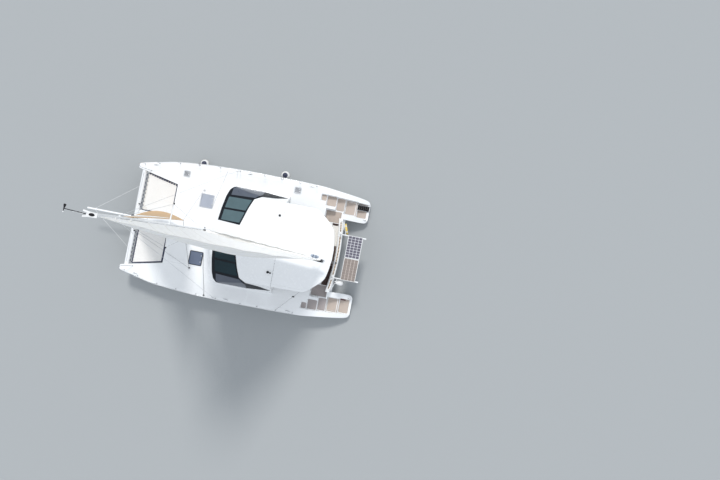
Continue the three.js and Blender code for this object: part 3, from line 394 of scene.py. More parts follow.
class Shader:
    """A procedural material round one Principled shader."""

    def __init__(self, name, colour, roughness, metallic=0.0, **more):
        self.material = bpy.data.materials.new(name)
        self.material.use_nodes = True
        self.tree = self.material.node_tree
        self.shader = next(n for n in self.tree.nodes if n.type == "BSDF_PRINCIPLED")
        self.set("Base Color", (*colour, 1))
        self.set("Roughness", roughness)
        self.set("Metallic", metallic)
        for key, value in more.items():
            self.set(key.replace("_", " "), value)
        coords = self.tree.nodes.new("ShaderNodeTexCoord")
        self.place = coords.outputs["Object"]
        self.uv = coords.outputs["UV"]
        self.material.diffuse_color = (*colour, 1)

    def set(self, name, value):
        self.shader.inputs[name].default_value = value

    def node(self, kind, **settings):
        node = self.tree.nodes.new("ShaderNode" + kind)
        for key, value in settings.items():
            setattr(node, key, value)
        return node

    def join(self, output, socket):
        self.tree.links.new(output, socket)

    def scaled(self, scale, source=None, rotation=(0, 0, 0)):
        node = self.node("Mapping")
        node.inputs["Scale"].default_value = scale
        node.inputs["Rotation"].default_value = rotation
        self.join(source or self.place, node.inputs["Vector"])
        return node.outputs["Vector"]

    def noise(self, scale, detail=3.0, source=None):
        node = self.node("TexNoise")
        node.inputs["Scale"].default_value = scale
        node.inputs["Detail"].default_value = detail
        self.join(source or self.place, node.inputs["Vector"])
        return node.outputs["Fac"]

    def wave(self, scale, direction="X", profile="SIN", source=None, distortion=0.0):
        node = self.node("TexWave", bands_direction=direction, wave_profile=profile)
        node.inputs["Scale"].default_value = scale
        node.inputs["Distortion"].default_value = distortion
        self.join(source or self.place, node.inputs["Vector"])
        return node.outputs["Fac"]

    def maths(self, operation, a, b=0.0):
        node = self.node("Math", operation=operation)
        for socket, value in zip(node.inputs, (a, b)):
            if isinstance(value, (int, float)):
                socket.default_value = value
            else:
                self.join(value, socket)
        return node.outputs[0]

    def ramp(self, value, stops):
        node = self.node("ValToRGB")
        elements = node.color_ramp.elements
        for element, (at, grey) in zip(elements, stops):
            element.position = at
            element.color = (grey, grey, grey, 1)
        self.join(value, node.inputs["Fac"])
        return node.outputs["Color"]

    def blend(self, share, a, b):
        node = self.node("MixRGB")
        for socket, value in zip(node.inputs, (share, a, b)):
            if isinstance(value, tuple):
                socket.default_value = (*value, 1)
            else:
                self.join(value, socket)
        return node.outputs["Color"]

    def patches(self, noise, low, high, most, a, b):
        """Colour that drifts from a towards b in soft patches."""
        return self.blend(self.ramp(noise, [(low, 0.0), (high, most)]), a, b)

    def axis(self, name, source=None):
        node = self.node("SeparateXYZ")
        self.join(source or self.place, node.inputs[0])
        return node.outputs[name]

    def colour(self, output):
        self.join(output, self.shader.inputs["Base Color"])

    def rough(self, value, low, high):
        """Roughness that wanders between two limits with the value."""
        scaled = self.maths("MULTIPLY", value, high - low)
        self.join(self.maths("ADD", scaled, low), self.shader.inputs["Roughness"])

    def bump(self, height, strength=0.3, distance=0.002):
        node = self.node("Bump")
        node.inputs["Strength"].default_value = strength
        node.inputs["Distance"].default_value = distance
        self.join(height, node.inputs["Height"])
        self.join(node.outputs["Normal"], self.shader.inputs["Normal"])


def make_gelcoat(name="gelcoat", white=(0.91, 0.915, 0.915), cloud=(0.86, 0.87, 0.875)):
    s = Shader(name, white, 0.25, Coat_Weight=0.35, Coat_Roughness=0.12)
    s.colour(s.patches(s.noise(0.9, 4), 0.35, 0.75, 0.55, white, cloud))
    s.rough(s.noise(7, 3), 0.16, 0.36)
    s.bump(s.noise(35, 2), 0.04, 0.001)
    return s.material


def make_hull_paint():
    """White gelcoat over dark blue antifouling paint, with a thin grey boot line between them."""
    white, blue = (0.91, 0.915, 0.915), (0.018, 0.034, 0.075)
    s = Shader("hull_gelcoat", white, 0.22, Coat_Weight=0.3, Coat_Roughness=0.1)
    height = s.axis("Z")
    clean = s.patches(s.noise(0.7, 5), 0.4, 0.8, 0.5, white, (0.85, 0.86, 0.86))
    # Faint marks where water runs down the topsides
    streaks = s.noise(6, 4, s.scaled((1, 1, 0.08)))
    low = s.ramp(s.maths("MULTIPLY", height, 1 / 1.2), [(0.02, 1.0), (0.6, 0.0)])
    stain = s.maths("MULTIPLY", s.ramp(streaks, [(0.52, 0.0), (0.72, 0.5)]), low)
    clean = s.blend(stain, clean, (0.62, 0.60, 0.50))
    growth = s.blend(s.noise(9, 5), blue, (0.03, 0.06, 0.075))
    under = s.maths("LESS_THAN", height, 0.055)
    boot = s.maths("LESS_THAN", s.maths("ABSOLUTE", s.maths("SUBTRACT", height, 0.085)), 0.03)
    s.colour(s.blend(under, s.blend(boot, clean, (0.16, 0.19, 0.24)), growth))
    s.join(s.maths("ADD", s.maths("MULTIPLY", under, 0.5), s.maths("MULTIPLY", s.noise(6), 0.3)),
           s.shader.inputs["Roughness"])
    s.bump(s.noise(30, 3), 0.05, 0.001)
    return s.material


def make_antifoul():
    s = Shader("antifouling", (0.018, 0.034, 0.075), 0.8)
    s.colour(s.blend(s.noise(8, 6), (0.016, 0.03, 0.07), (0.035, 0.065, 0.08)))
    s.rough(s.noise(14), 0.65, 0.95)
    s.bump(s.noise(60, 5), 0.35, 0.003)
    return s.material


def make_nonslip(name, base, shade, grain=90):
    """Moulded nonslip: small raised diamonds, a little worn."""
    s = Shader(name, base, 0.6)
    turned = s.scaled((1, 1, 1), rotation=(0, 0, math.radians(45)))
    diamonds = s.maths("MULTIPLY", s.wave(grain, "X", source=turned), s.wave(grain, "Y", source=turned))
    wear = s.ramp(s.noise(2.2, 6), [(0.35, 0.0), (0.7, 1.0)])
    s.colour(s.blend(s.maths("MULTIPLY", wear, 0.7), base, shade))
    s.rough(s.noise(11), 0.5, 0.75)
    s.bump(diamonds, 0.5, 0.0015)
    return s.material


def make_spar():
    s = Shader("white_spar_paint", (0.84, 0.845, 0.84), 0.32, metallic=0.1, Coat_Weight=0.25)
    s.colour(s.patches(s.noise(1.3, 5), 0.4, 0.8, 0.6, (0.91, 0.915, 0.915), (0.83, 0.84, 0.84)))
    s.rough(s.noise(9), 0.25, 0.45)
    s.bump(s.noise(60), 0.05, 0.0005)
    return s.material


def make_metal(name, colour, rough, streak=True):
    s = Shader(name, colour, rough, metallic=1.0)
    fine = s.noise(180, 2, s.scaled((1, 1, 0.06))) if streak else s.noise(25, 5)
    s.colour(s.blend(s.maths("MULTIPLY", s.noise(5, 5), 0.5), colour, tuple(0.6 * c for c in colour)))
    s.rough(fine, max(rough - 0.1, 0.05), rough + 0.15)
    s.bump(fine, 0.06, 0.0004)
    return s.material


def make_plastic(name, colour, rough=0.5, shade=None, grain=120, depth=0.0006, gloss=0.5):
    s = Shader(name, colour, rough, Specular_IOR_Level=gloss)
    shade = shade or tuple(0.78 * c for c in colour)
    s.colour(s.patches(s.noise(3.5, 5), 0.35, 0.8, 0.8, colour, shade))
    s.rough(s.noise(8), rough - 0.08, rough + 0.12)
    s.bump(s.noise(grain, 3), 0.25, depth)
    return s.material


def make_glass(name, colour, clear, ior=1.45, coat=0.4):
    """Tinted glass or acrylic; clear is how much light it lets through."""
    s = Shader(name, colour, 0.06, Transmission_Weight=clear, IOR=ior, Coat_Weight=coat)
    s.set("Coat Roughness", 0.03)
    s.colour(s.patches(s.noise(1.1, 3), 0.4, 0.75, 0.6, colour, tuple(1.35 * c for c in colour)))
    s.rough(s.noise(4, 4), 0.04, 0.12)
    return s.material


def make_sailcloth():
    """Cream cloth in panels across the sail, with stitched seams; UV runs along the foot and up."""
    cream = (0.92, 0.91, 0.875)
    s = Shader("sailcloth", cream, 0.72, Sheen_Weight=0.12, Sheen_Roughness=0.5, Subsurface_Weight=0.5)
    s.set("Subsurface Radius", (1.0, 1.0, 0.9))
    s.set("Subsurface Scale", 0.012)
    up = s.axis("Y", s.uv)
    along = s.axis("X", s.uv)
    panel = s.maths("MULTIPLY", s.maths("ADD", up, s.maths("MULTIPLY", along, -0.12)), 0.92)
    saw = s.maths("FRACT", panel)
    seam = s.maths("LESS_THAN", saw, 0.022)
    stitch = s.maths("LESS_THAN", s.maths("ABSOLUTE", s.maths("SUBTRACT", saw, 0.011)), 0.0035)
    tone = s.node("TexWhiteNoise", noise_dimensions="1D")
    s.join(s.maths("FLOOR", panel), tone.inputs["W"])
    body = s.blend(s.maths("MULTIPLY", tone.outputs["Value"], 0.35), cream, (0.90, 0.885, 0.85))
    # Soft darker patches over the cloth: painted shade of creases
    crease_shade = s.ramp(s.noise(1.6, 6), [(0.45, 0.0), (0.8, 0.45)])
    body = s.blend(crease_shade, body, (0.89, 0.875, 0.84))
    body = s.blend(s.maths("MULTIPLY", seam, 0.6), body, (0.72, 0.69, 0.62))
    s.colour(s.blend(s.maths("MULTIPLY", stitch, 0.4), body, (0.45, 0.41, 0.34)))
    s.rough(s.noise(9), 0.6, 0.85)
    weave = s.maths("ADD", s.wave(70, "X", source=s.scaled((1, 1, 1), s.uv)),
                    s.wave(70, "Y", source=s.scaled((1, 1, 1), s.uv)))
    folds = s.maths("MULTIPLY", s.noise(2.5, 4), 6.0)
    s.bump(s.maths("ADD", s.maths("ADD", weave, folds), s.maths("MULTIPLY", seam, 3.0)), 0.25, 0.002)
    return s.material


def make_cloth(name, colour, shade, scale=260, sheen=0.3):
    s = Shader(name, colour, 0.85, Sheen_Weight=sheen, Sheen_Roughness=0.5)
    weave = s.maths("ADD", s.wave(scale, "X"), s.wave(scale, "Y"))
    s.colour(s.blend(s.maths("MULTIPLY", s.noise(5, 6), 0.9), colour, shade))
    s.rough(s.noise(12), 0.75, 0.95)
    s.bump(s.maths("ADD", weave, s.maths("MULTIPLY", s.noise(14, 5), 3.0)), 0.4, 0.0008)
    return s.material


def make_netting():
    """Flat woven netting: a tight square weave with small dark gaps."""
    light, gap = (0.86, 0.835, 0.80), (0.40, 0.40, 0.39)
    s = Shader("netting", light, 0.88, Sheen_Weight=0.15)
    across, along = s.wave(22, "X"), s.wave(22, "Y")
    holes = s.ramp(s.maths("MULTIPLY", across, along), [(0.55, 0.0), (0.9, 0.55)])
    worn = s.patches(s.noise(1.4, 6), 0.35, 0.75, 0.8, light, (0.89, 0.87, 0.84))
    s.colour(s.blend(holes, worn, gap))
    s.rough(s.noise(10), 0.8, 0.95)
    s.bump(s.maths("ADD", s.maths("ADD", across, along), s.maths("MULTIPLY", s.noise(4, 3), 2.0)), 0.5, 0.003)
    return s.material


def make_rope(name, colour, fleck):
    s = Shader(name, colour, 0.8, Sheen_Weight=0.2)
    braid = s.wave(60, "DIAGONAL", source=s.scaled((1, 1, 1)))
    s.colour(s.blend(s.ramp(braid, [(0.55, 0.0), (0.8, 1.0)]), colour, fleck))
    s.rough(s.noise(20), 0.7, 0.9)
    s.bump(braid, 0.5, 0.001)
    return s.material


def make_teak():
    s = Shader("teak", (0.36, 0.21, 0.105), 0.55)
    rings = s.wave(3.0, "Y", distortion=5.0, source=s.scaled((0.25, 2.6, 1)))
    grain = s.noise(60, 5, s.scaled((0.08, 1, 1)))
    wood = s.blend(rings, (0.30, 0.165, 0.08), (0.45, 0.28, 0.15))
    s.colour(s.blend(s.maths("MULTIPLY", grain, 0.6), wood, (0.22, 0.12, 0.06)))
    s.rough(grain, 0.45, 0.7)
    s.bump(grain, 0.2, 0.0008)
    return s.material


def make_cells(name, dark, light):
    """Solar cells: fine silver fingers across a slightly mottled colour."""
    s = Shader(name, dark, 0.18, Coat_Weight=0.8, Coat_Roughness=0.05)
    fingers = s.ramp(s.wave(95, "X"), [(0.9, 0.0), (0.97, 1.0)])
    mottled = s.blend(s.noise(9, 3), dark, light)
    s.colour(s.blend(s.maths("MULTIPLY", fingers, 0.35), mottled, (0.55, 0.56, 0.58)))
    s.rough(s.noise(6), 0.12, 0.28)
    return s.material


GELCOAT = make_gelcoat()
# A brighter copy of the gelcoat for the aft bench: painted light against the sails' shade
GELCOAT_PAINTED_LIGHT = make_gelcoat("gelcoat_painted_light", (0.95, 0.95, 0.94), (0.92, 0.92, 0.91))
HULL_PAINT = make_hull_paint()
DECK_GRIP = make_nonslip("deck_nonslip", (0.89, 0.895, 0.895), (0.86, 0.865, 0.865))
STEP_GRIP = make_nonslip("step_nonslip", (0.52, 0.435, 0.375), (0.45, 0.38, 0.33), 60)
# A darker copy of the step nonslip: painted shade on the port side's upper steps
STEP_GRIP_PAINTED_SHADE = make_nonslip("step_nonslip_painted_shade", (0.43, 0.380, 0.370), (0.36, 0.32, 0.31), 60)
ANTIFOUL = make_antifoul()
SPAR = make_spar()
STEEL = make_metal("stainless_steel", (0.62, 0.63, 0.64), 0.22)
ALUMINIUM = make_metal("anodised_aluminium", (0.70, 0.71, 0.72), 0.35)
WIRE = make_metal("bright_wire", (0.92, 0.925, 0.93), 0.45)
BRONZE = make_metal("bronze", (0.42, 0.28, 0.12), 0.4, streak=False)
WINDOW = make_glass("window_glass", (0.024, 0.038, 0.056), 0.12, 1.35, 0.1)
# Lit and shaded copies of one glass for the opening panes: the lighter one is painted light, the darker one
# painted shade
PANE = make_glass("opening_pane", (0.075, 0.130, 0.145), 0.12)
PANE_PAINTED_SHADE = make_glass("opening_pane_painted_shade", (0.012, 0.030, 0.038), 0.12, 1.25, 0.0)
HATCH_PANE = make_glass("hatch_acrylic", (0.13, 0.16, 0.23), 0.15)
# A pale acrylic for the starboard fore hatch: painted reflection of the sail in its glass
PALE_PANE_PAINTED_REFLECTION = make_glass("hatch_acrylic_painted_reflection", (0.42, 0.45, 0.52), 0.15)
FRAME_BLACK = make_plastic("black_frame", (0.010, 0.013, 0.018), 0.45, gloss=0.15)
SLATE = make_plastic("slate_surround", (0.085, 0.100, 0.130), 0.3)
BLACK = make_plastic("black_plastic", (0.014, 0.014, 0.016), 0.55, gloss=0.2)
RUBBER = make_plastic("grey_rubber", (0.12, 0.12, 0.125), 0.75)
WHITE_PLASTIC = make_plastic("white_plastic", (0.83, 0.83, 0.82), 0.4)
VINYL = make_plastic("fender_vinyl", (0.84, 0.835, 0.82), 0.35, shade=(0.70, 0.69, 0.65))
NAVY_VINYL = make_plastic("navy_vinyl", (0.03, 0.035, 0.075), 0.4)
YELLOW = make_plastic("yellow_cover", (0.86, 0.64, 0.16), 0.55, shade=(0.78, 0.52, 0.10))
REFLECTIVE = make_plastic("reflective_tape", (0.78, 0.79, 0.80), 0.3)
SAIL = make_sailcloth()
UV_STRIP = make_cloth("uv_strip", (0.66, 0.44, 0.23), (0.58, 0.37, 0.19), 90, sheen=0.1)
CUSHION = make_cloth("beige_cushion", (0.60, 0.55, 0.46), (0.50, 0.45, 0.37))
NETTING = make_netting()
NAVY_ROPE = make_rope("navy_rope", (0.014, 0.018, 0.045), (0.05, 0.06, 0.12))
WHITE_ROPE = make_rope("white_rope", (0.66, 0.66, 0.63), (0.10, 0.13, 0.25))
GREY_ROPE = make_rope("grey_rope", (0.16, 0.165, 0.18), (0.42, 0.42, 0.40))
TEAK = make_teak()
CELLS_PURPLE = make_cells("solar_cells_purple", (0.052, 0.044, 0.074), (0.100, 0.085, 0.125))
CELLS_BROWN = make_cells("solar_cells_brown", (0.20, 0.155, 0.130), (0.28, 0.225, 0.195))
ENGINE = make_plastic("engine_paint", (0.22, 0.24, 0.25), 0.45, grain=40, depth=0.002)
# Brown vinyl for the band round the fenders: painted shade at their rim
FENDER_BAND_PAINTED_SHADE = make_plastic("fender_band_painted_shade", (0.60, 0.50, 0.44), 0.6, shade=(0.42, 0.31, 0.26))
# Brown and near-black cloth on the aft bench cushions are painted shade; the near-black cloth also makes the
# dark patches on the beam's inlay
BROWN_CUSHION_PAINTED_SHADE = make_cloth("brown_cushion_painted_shade", (0.145, 0.095, 0.070), (0.09, 0.06, 0.047))
PALE_CUSHION = make_cloth("pale_cushion", (0.86, 0.83, 0.78), (0.80, 0.76, 0.70))
DARK_PATCH_AND_PAINTED_SHADE = make_cloth("dark_patch_and_painted_shade", (0.060, 0.030, 0.022), (0.035, 0.020, 0.016))
TAN_PAD = make_cloth("tan_pad", (0.60, 0.46, 0.33), (0.52, 0.38, 0.27))
SMALL_PANE = make_glass("small_hatch_acrylic", (0.34, 0.35, 0.37), 0.1)
BATTEN_CLOTH = make_cloth("batten_pocket_cloth", (0.80, 0.785, 0.74), (0.74, 0.72, 0.67), 120)
BAG_CLOTH = make_cloth("sail_bag_cloth", (0.92, 0.915, 0.89), (0.87, 0.86, 0.83), 150)
BUNDLE_CLOTH = make_cloth("bundle_cloth", (0.40, 0.46, 0.54), (0.26, 0.31, 0.39), 150)
HEM_CLOTH = make_cloth("net_hem", (0.82, 0.79, 0.74), (0.70, 0.67, 0.62), 150)
BACKSHEET = make_plastic("panel_backsheet", (0.72, 0.73, 0.75), 0.25)
BACKSHEET_TAN = make_plastic("panel_backsheet_tan", (0.58, 0.50, 0.44), 0.25)
MAROON = make_plastic("maroon_strip", (0.10, 0.025, 0.03), 0.7)
GREY_PAINT = make_plastic("grey_paint", (0.30, 0.31, 0.33), 0.35)


def make_softening():
    """A modifier for solids: shades gentle edges smooth and keeps sharper ones crisp."""
    group = bpy.data.node_groups.new("soft_shading", "GeometryNodeTree")
    group.interface.new_socket("Geometry", in_out="INPUT", socket_type="NodeSocketGeometry")
    group.interface.new_socket("Geometry", in_out="OUTPUT", socket_type="NodeSocketGeometry")
    make = group.nodes.new
    start, end = make("NodeGroupInput"), make("NodeGroupOutput")
    faces, edges = make("GeometryNodeSetShadeSmooth"), make("GeometryNodeSetShadeSmooth")
    faces.domain, edges.domain = "FACE", "EDGE"
    faces.inputs["Shade Smooth"].default_value = True
    edges.inputs["Shade Smooth"].default_value = False
    angle, compare = make("GeometryNodeInputMeshEdgeAngle"), make("FunctionNodeCompare")
    compare.operation = "GREATER_THAN"
    compare.inputs[1].default_value = math.radians(38)
    link = group.links.new
    link(start.outputs[0], faces.inputs["Geometry"])
    link(faces.outputs[0], edges.inputs["Geometry"])
    link(angle.outputs["Unsigned Angle"], compare.inputs[0])
    link(compare.outputs[0], edges.inputs["Selection"])
    link(edges.outputs[0], end.inputs[0])
    return group


SOFTENING = make_softening()


def dress(name, material, edge):
    """Gives a solid its material, rounds its edges and shades it smooth."""
    node = nodes[name]
    node.data.materials.clear()
    node.data.materials.append(material)
    weld = node.modifiers.new("weld", "WELD")
    weld.merge_threshold = 0.0001
    if edge:
        flat = node.modifiers.new("flat", "DECIMATE")
        flat.decimate_type = "DISSOLVE"
        flat.angle_limit = math.radians(0.5)
        step = node.modifiers.new("edges", "BEVEL")
        step.width = edge
        step.segments = 2
        step.limit_method = "ANGLE"
        step.angle_limit = math.radians(38)
    soft = node.modifiers.new("soft", "NODES")
    soft.node_group = SOFTENING


# Camera, light and floor

SENSOR_MM, LENS_MM = 36, 35.1
CAMERA_PLACE = Vector((-5.82, -0.41, 37.4))
CAMERA_TARGET = Vector((-5.80, -1.02, 1.4))
PICTURE_RIGHT = Vector((-0.98173, -0.19029, 0))


def make_camera():
    """Almost straight above, a little astern of amidships, with the bow to the left of the picture."""
    data = bpy.data.cameras.new("camera")
    data.sensor_width = SENSOR_MM
    data.lens = LENS_MM
    data.clip_end = 500
    camera = bpy.data.objects.new("camera", data)
    bpy.context.scene.collection.objects.link(camera)
    back = (CAMERA_PLACE - CAMERA_TARGET).normalized()
    up = back.cross(PICTURE_RIGHT).normalized()
    right = up.cross(back)
    matrix = Matrix((right, up, back)).transposed().to_4x4()
    matrix.translation = CAMERA_PLACE
    camera.matrix_world = matrix
    bpy.context.scene.camera = camera


def make_stage():
    floor = Bits()
    reach = 400
    floor.add([(x, y, 0) for x, y in rectangle(-reach, reach, -reach, reach)], [(0, 1, 2, 3)])
    obj = new_object("floor", floor)
    paint = Shader("floor_paint", (0.37, 0.385, 0.39), 0.9)
    obj.data.materials.append(paint.material)
    sun = bpy.data.lights.new("sun", "SUN")
    sun.energy = 1.65
    sun.angle = math.radians(10)
    sun.color = (1.0, 0.985, 0.96)
    lamp = bpy.data.objects.new("sun", sun)
    lamp.rotation_mode = "QUATERNION"
    lamp.rotation_quaternion = Vector((-0.10, 0.52, -0.85)).to_track_quat("-Z", "Y")
    bpy.context.scene.collection.objects.link(lamp)
    world = bpy.data.worlds.new("world")
    world.use_nodes = True
    sky = world.node_tree.nodes["Background"]
    sky.inputs["Color"].default_value = (0.86, 0.92, 1.0, 1)
    sky.inputs["Strength"].default_value = 0.90
    bpy.context.scene.world = world
    bpy.context.scene.view_settings.view_transform = "Standard"


make_camera()
make_stage()

# Hulls

# x, inboard deck edge, outboard deck edge, drop below the deck plane,
# height of the widest waterline, its inboard and outboard edges, keel line height
HULL_STATIONS = [
    (6.000, 2.560, 2.700, 0.040, 1.180, 2.590, 2.670, 1.000),
    (5.960, 2.515, 2.760, 0.010, 0.900, 2.580, 2.690, 0.640),
    (5.880, 2.490, 2.800, 0, 0.520, 2.575, 2.700, 0.200),
    (5.740, 2.456, 2.840, 0, 0.150, 2.560, 2.730, -0.080),
    (5.480, 2.399, 2.891, 0, 0, 2.510, 2.790, -0.230),
    (4.970, 2.286, 2.993, 0, 0, 2.420, 2.880, -0.350),
    (4.460, 2.172, 3.115, 0, 0, 2.330, 2.950, -0.420),
    (3.885, 2.043, 3.205, 0, 0, 2.240, 3.010, -0.480),
    (2.930, 1.900, 3.300, 0, 0, 2.130, 3.090, -0.530),
    (1.900, 1.900, 3.362, 0, 0, 2.060, 3.150, -0.560),
    (0.000, 1.900, 3.410, 0, 0, 2.000, 3.210, -0.580),
    (-1.900, 1.900, 3.405, 0, 0, 2.000, 3.210, -0.560),
    (-3.400, 1.900, 3.370, 0, 0, 2.010, 3.180, -0.490),
    (-4.200, 1.900, 3.300, 0.110, 0, 2.030, 3.120, -0.420),
    (-4.900, 1.900, 3.235, 0.330, 0, 2.050, 3.060, -0.320),
    (-5.450, 1.900, 3.185, 0.640, 0, 2.080, 3.000, -0.205),
    (-5.780, 1.915, 3.135, 0.850, 0, 2.100, 2.960, -0.130),
    (-5.920, 1.965, 3.085, 0.960, 0, 2.140, 2.920, -0.095),
    (-6.000, 2.090, 2.950, 1.020, 0, 2.210, 2.850, -0.060),
]
RISING = HULL_STATIONS[::-1]
STATION_AT = [smooth_through([row[0] for row in RISING], [row[k] for row in RISING]) for k in range(8)]
NOTCH_X = 3.877  # forward of this the inboard deck edge leaves the bridge deck


def station(x):
    values = [at(x) for at in STATION_AT]
    if x < NOTCH_X and x > -5.45:
        values[1] = INNER_WALL_Y
    return values


def gunwale_y(x):
    return station(x)[2]


def inner_y(x):
    return station(x)[1]


def hull_ring(x, shrink=1.0):
    _, inner, outer, drop, mid_z, mid_in, mid_out, keel_z = station(x)
    top = deck_z(x) - drop
    rise = top - mid_z
    middle, half = (mid_in + mid_out) / 2, (mid_out - mid_in) / 2
    edge = min(0.05, 0.3 * (outer - inner))
    ring = [(inner + 0.012, top), (mix(inner, outer, 0.5), top)]
    for k in range(5):
        a = math.pi / 2 * k / 4
        ring.append((outer - edge + edge * math.sin(a), top - edge + edge * math.cos(a)))
    side = [(outer, top - edge), (mix(mid_out, outer, 0.93), mid_z + 0.76 * rise),
            (mix(mid_out, outer, 0.62), mid_z + 0.36 * rise), (mid_out, mid_z)]
    ring += [(p.x, p.y) for p in (Vector(q[:2]) for q in curve_points([(*q, 0) for q in side], 9)[1:])]
    steps = 18
    for k in range(1, steps):
        a = math.pi * k / steps
        ring.append((middle + half * math.cos(a), mid_z + (keel_z - mid_z) * math.sin(a) ** 0.8))
    inboard = [(mid_in, mid_z), (mix(inner, mid_in, 0.55), mid_z + 0.2 * rise), (inner, mid_z + 0.45 * rise)]
    ring += [(p.x, p.y) for p in curve_points([(*q, 0) for q in inboard], 5)]
    ring += [(inner, mid_z + 0.75 * rise), (inner, top - 0.012)]
    centre = Vector(((inner + outer) / 2, mix(keel_z, top, 0.55)))
    return [(x, centre.x + (y - centre.x) * shrink, centre.y + (z - centre.y) * shrink) for y, z in ring]


# Steps from the side deck down to the bathing platform: forward x, aft x, inboard y, outboard y, height
STERN_STEPS = [
    (-3.43, -3.74, 2.64, 2.99, 1.24),
    (-3.73, -4.26, 2.44, 2.99, 1.05),
    (-4.25, -4.71, 2.28, 2.97, 0.85),
    (-4.70, -5.36, 2.17, 2.96, 0.58),
    (-5.35, -6.20, 2.15, 2.93, 0.34),
]
ENGINE_STEP, PLATFORM = 3, 4
# The passage from the cockpit: front x, aft x, outboard y
PASSAGE = (-3.79, -4.64, 2.30)
# The engine's space and the opening that its hatch closes:
# aft x, front x, inboard y, outboard y, low z, high z
ENGINE_SPACE = (-5.22, -4.38, 2.27, 2.83, -0.06, 0.47)
ENGINE_OPENING = (-5.22, -4.79, 2.27, 2.83, 0.46, 0.59)
HATCH_LIP = 0.045
# Deck hatches: front x, aft x, inboard y, outboard y, and the depth below the small ones
FORE_HATCH = (2.600, 1.915, 1.130, 1.845)
SMALL_HATCHES = {
    "hatch_bow_starboard": (3.690, 3.350, 2.500, 2.830, 0.42),
    "hatch_stern_starboard": (-2.010, -2.370, 2.750, 3.085, 0.42),
}


def make_hull(side_name, side):
    bits = Bits()
    places = [6.0, 5.985, 5.96, 5.92, 5.88, 5.81, 5.74, 5.62]
    places += spread(5.48, NOTCH_X + 0.001, 12)
    places += spread(NOTCH_X - 0.001, -5.40, 56)
    places += [-5.5, -5.6, -5.7, -5.78, -5.85, -5.9, -5.94, -5.97, -5.99, -6.0]
    rings = [hull_ring(6.0, 0.55)]
    rings[0] = [(6.012, y, z) for _, y, z in rings[0]]
    rings += [hull_ring(x, 0.93 if x == 6.0 else 1.0) for x in places]
    bits.loft(rings)
    if side == STARBOARD:
        bits = bits.mirror()
    obj = hidden(bits, f"hull_shell_{side_name}")
    cutters = []

    def cut(x0, x1, y0, y1, z0, z1):
        near, far = sorted((side * y0, side * y1))
        bits = Bits()
        bits.block((x0, near, z0), (x1, far, z1), 0)
        cutters.append(hidden(bits, "cutter"))

    def cut_round(start, end, radius, sides):
        bits = Bits()
        bits.tube([start, end], radius, sides)
        cutters.append(hidden(bits, "cutter"))

    for front, aft, inner, outer, z in STERN_STEPS:
        cut(aft, front, inner, outer, z, 1.9)
    cut(PASSAGE[1], PASSAGE[0], 1.8, PASSAGE[2], SOLE_Z, 1.9)
    cut(*ENGINE_SPACE)
    cut(*ENGINE_OPENING)
    if side == STARBOARD:
        for front, aft, inner, outer, depth in SMALL_HATCHES.values():
            cut(aft + HATCH_LIP, front - HATCH_LIP, inner + HATCH_LIP, outer - HATCH_LIP,
                deck_z(aft) - depth, 1.8)
    # The sockets of the cross beam and of the rudder stock
    cut_round((BEAM_X, side * 2.0, BEAM_Z), (BEAM_X, side * 2.5605, BEAM_Z), BEAM_RADIUS + 0.002, 32)
    cut_round((RUDDER_X, side * RUDDER_Y, -0.6), (RUDDER_X, side * RUDDER_Y, 0.12), 0.034, 20)
    boolean(obj, cutters)
    finish_piece(obj, obj.name, HULL_PAINT, "gelcoat_white", [f"hull_{side_name}"])


# Aft x, front x, low z and high z of the panes in the topsides
PORTLIGHTS = [(-2.30, 0.10, 0.80, 1.08), (1.05, 2.35, 0.84, 1.08), (-3.95, -3.35, 0.62, 0.80)]


def make_portlights():
    """Long smoked panes in the outboard side of each hull, and a small one near the stern."""
    for side_name, side in SIDES:
        bits = Bits()
        for aft, front, low, high in PORTLIGHTS:
            rings = []
            for grow, proud in ((0.012, -0.004), (0.012, 0.004), (0, 0.006)):
                outline = rounded(rectangle(aft - grow, front + grow, low - grow, high + grow), 0.11)
                rings.append([(x, side * (hull_side_y(x, z) + proud), z) for x, z in outline])
            bits.loft(rings)
        bits.make(f"hull_windows_{side_name}", WINDOW, slot="window_glass")


def hull_side_y(x, z):
    """The outboard side of the hull at a height."""
    ring = [(y, height) for _, y, height in hull_ring(x)][2:17]
    for (y0, z0), (y1, z1) in zip(ring, ring[1:]):
        if z1 <= z <= z0 and z0 > z1:
            return mix(y1, y0, (z - z1) / (z0 - z1))
    return ring[-1][0]


# Coachroof

# height (None: on the deck), front x, half width, depth of the curved front, its squareness
ROOF_RINGS = [
    (1.508, 1.725, 2.530, 0.620, 2.6),
    (1.750, 1.500, 2.461, 0.600, 2.6),
    (2.200, 0.850, 2.312, 0.800, 2.4),
    (2.620, 0.230, 2.160, 1.000, 2.2),
    (2.750, -0.040, 2.105, 1.050, 2.2),
    (2.835, -0.330, 1.960, 1.100, 2.2),
    (2.890, -0.700, 1.400, 1.000, 2.2),
    (2.910, -1.100, 0.700, 0.600, 2.2),
]
ROOF_AFT_X = -1.890
ROOF_WALL = 0.05
ROOF_INSIDE_FOOT_Z = 1.30
ROOF_COLUMN = [smooth_through(list(range(8)), [row[k] for row in ROOF_RINGS]) for k in range(5)]
WINDOW_SILL, WINDOW_HEAD = 1.640, 2.720
# Port window band in plan: along the lower edge, then back along the roof edge
WINDOW_LOWER = [(1.486, 0.660), (1.410, 1.269), (1.283, 1.928), (1.157, 2.283), (0.979, 2.461),
                (0.860, 2.500)]
WINDOW_STRIP = [(-0.449, 2.500), (-1.840, 2.371), (-1.840, 2.364), (-1.274, 2.235), (-0.642, 2.175)]
WINDOW_UPPER = [(-0.273, 1.981), (-0.078, 1.485), (0.070, 0.990), (0.198, 0.594)]


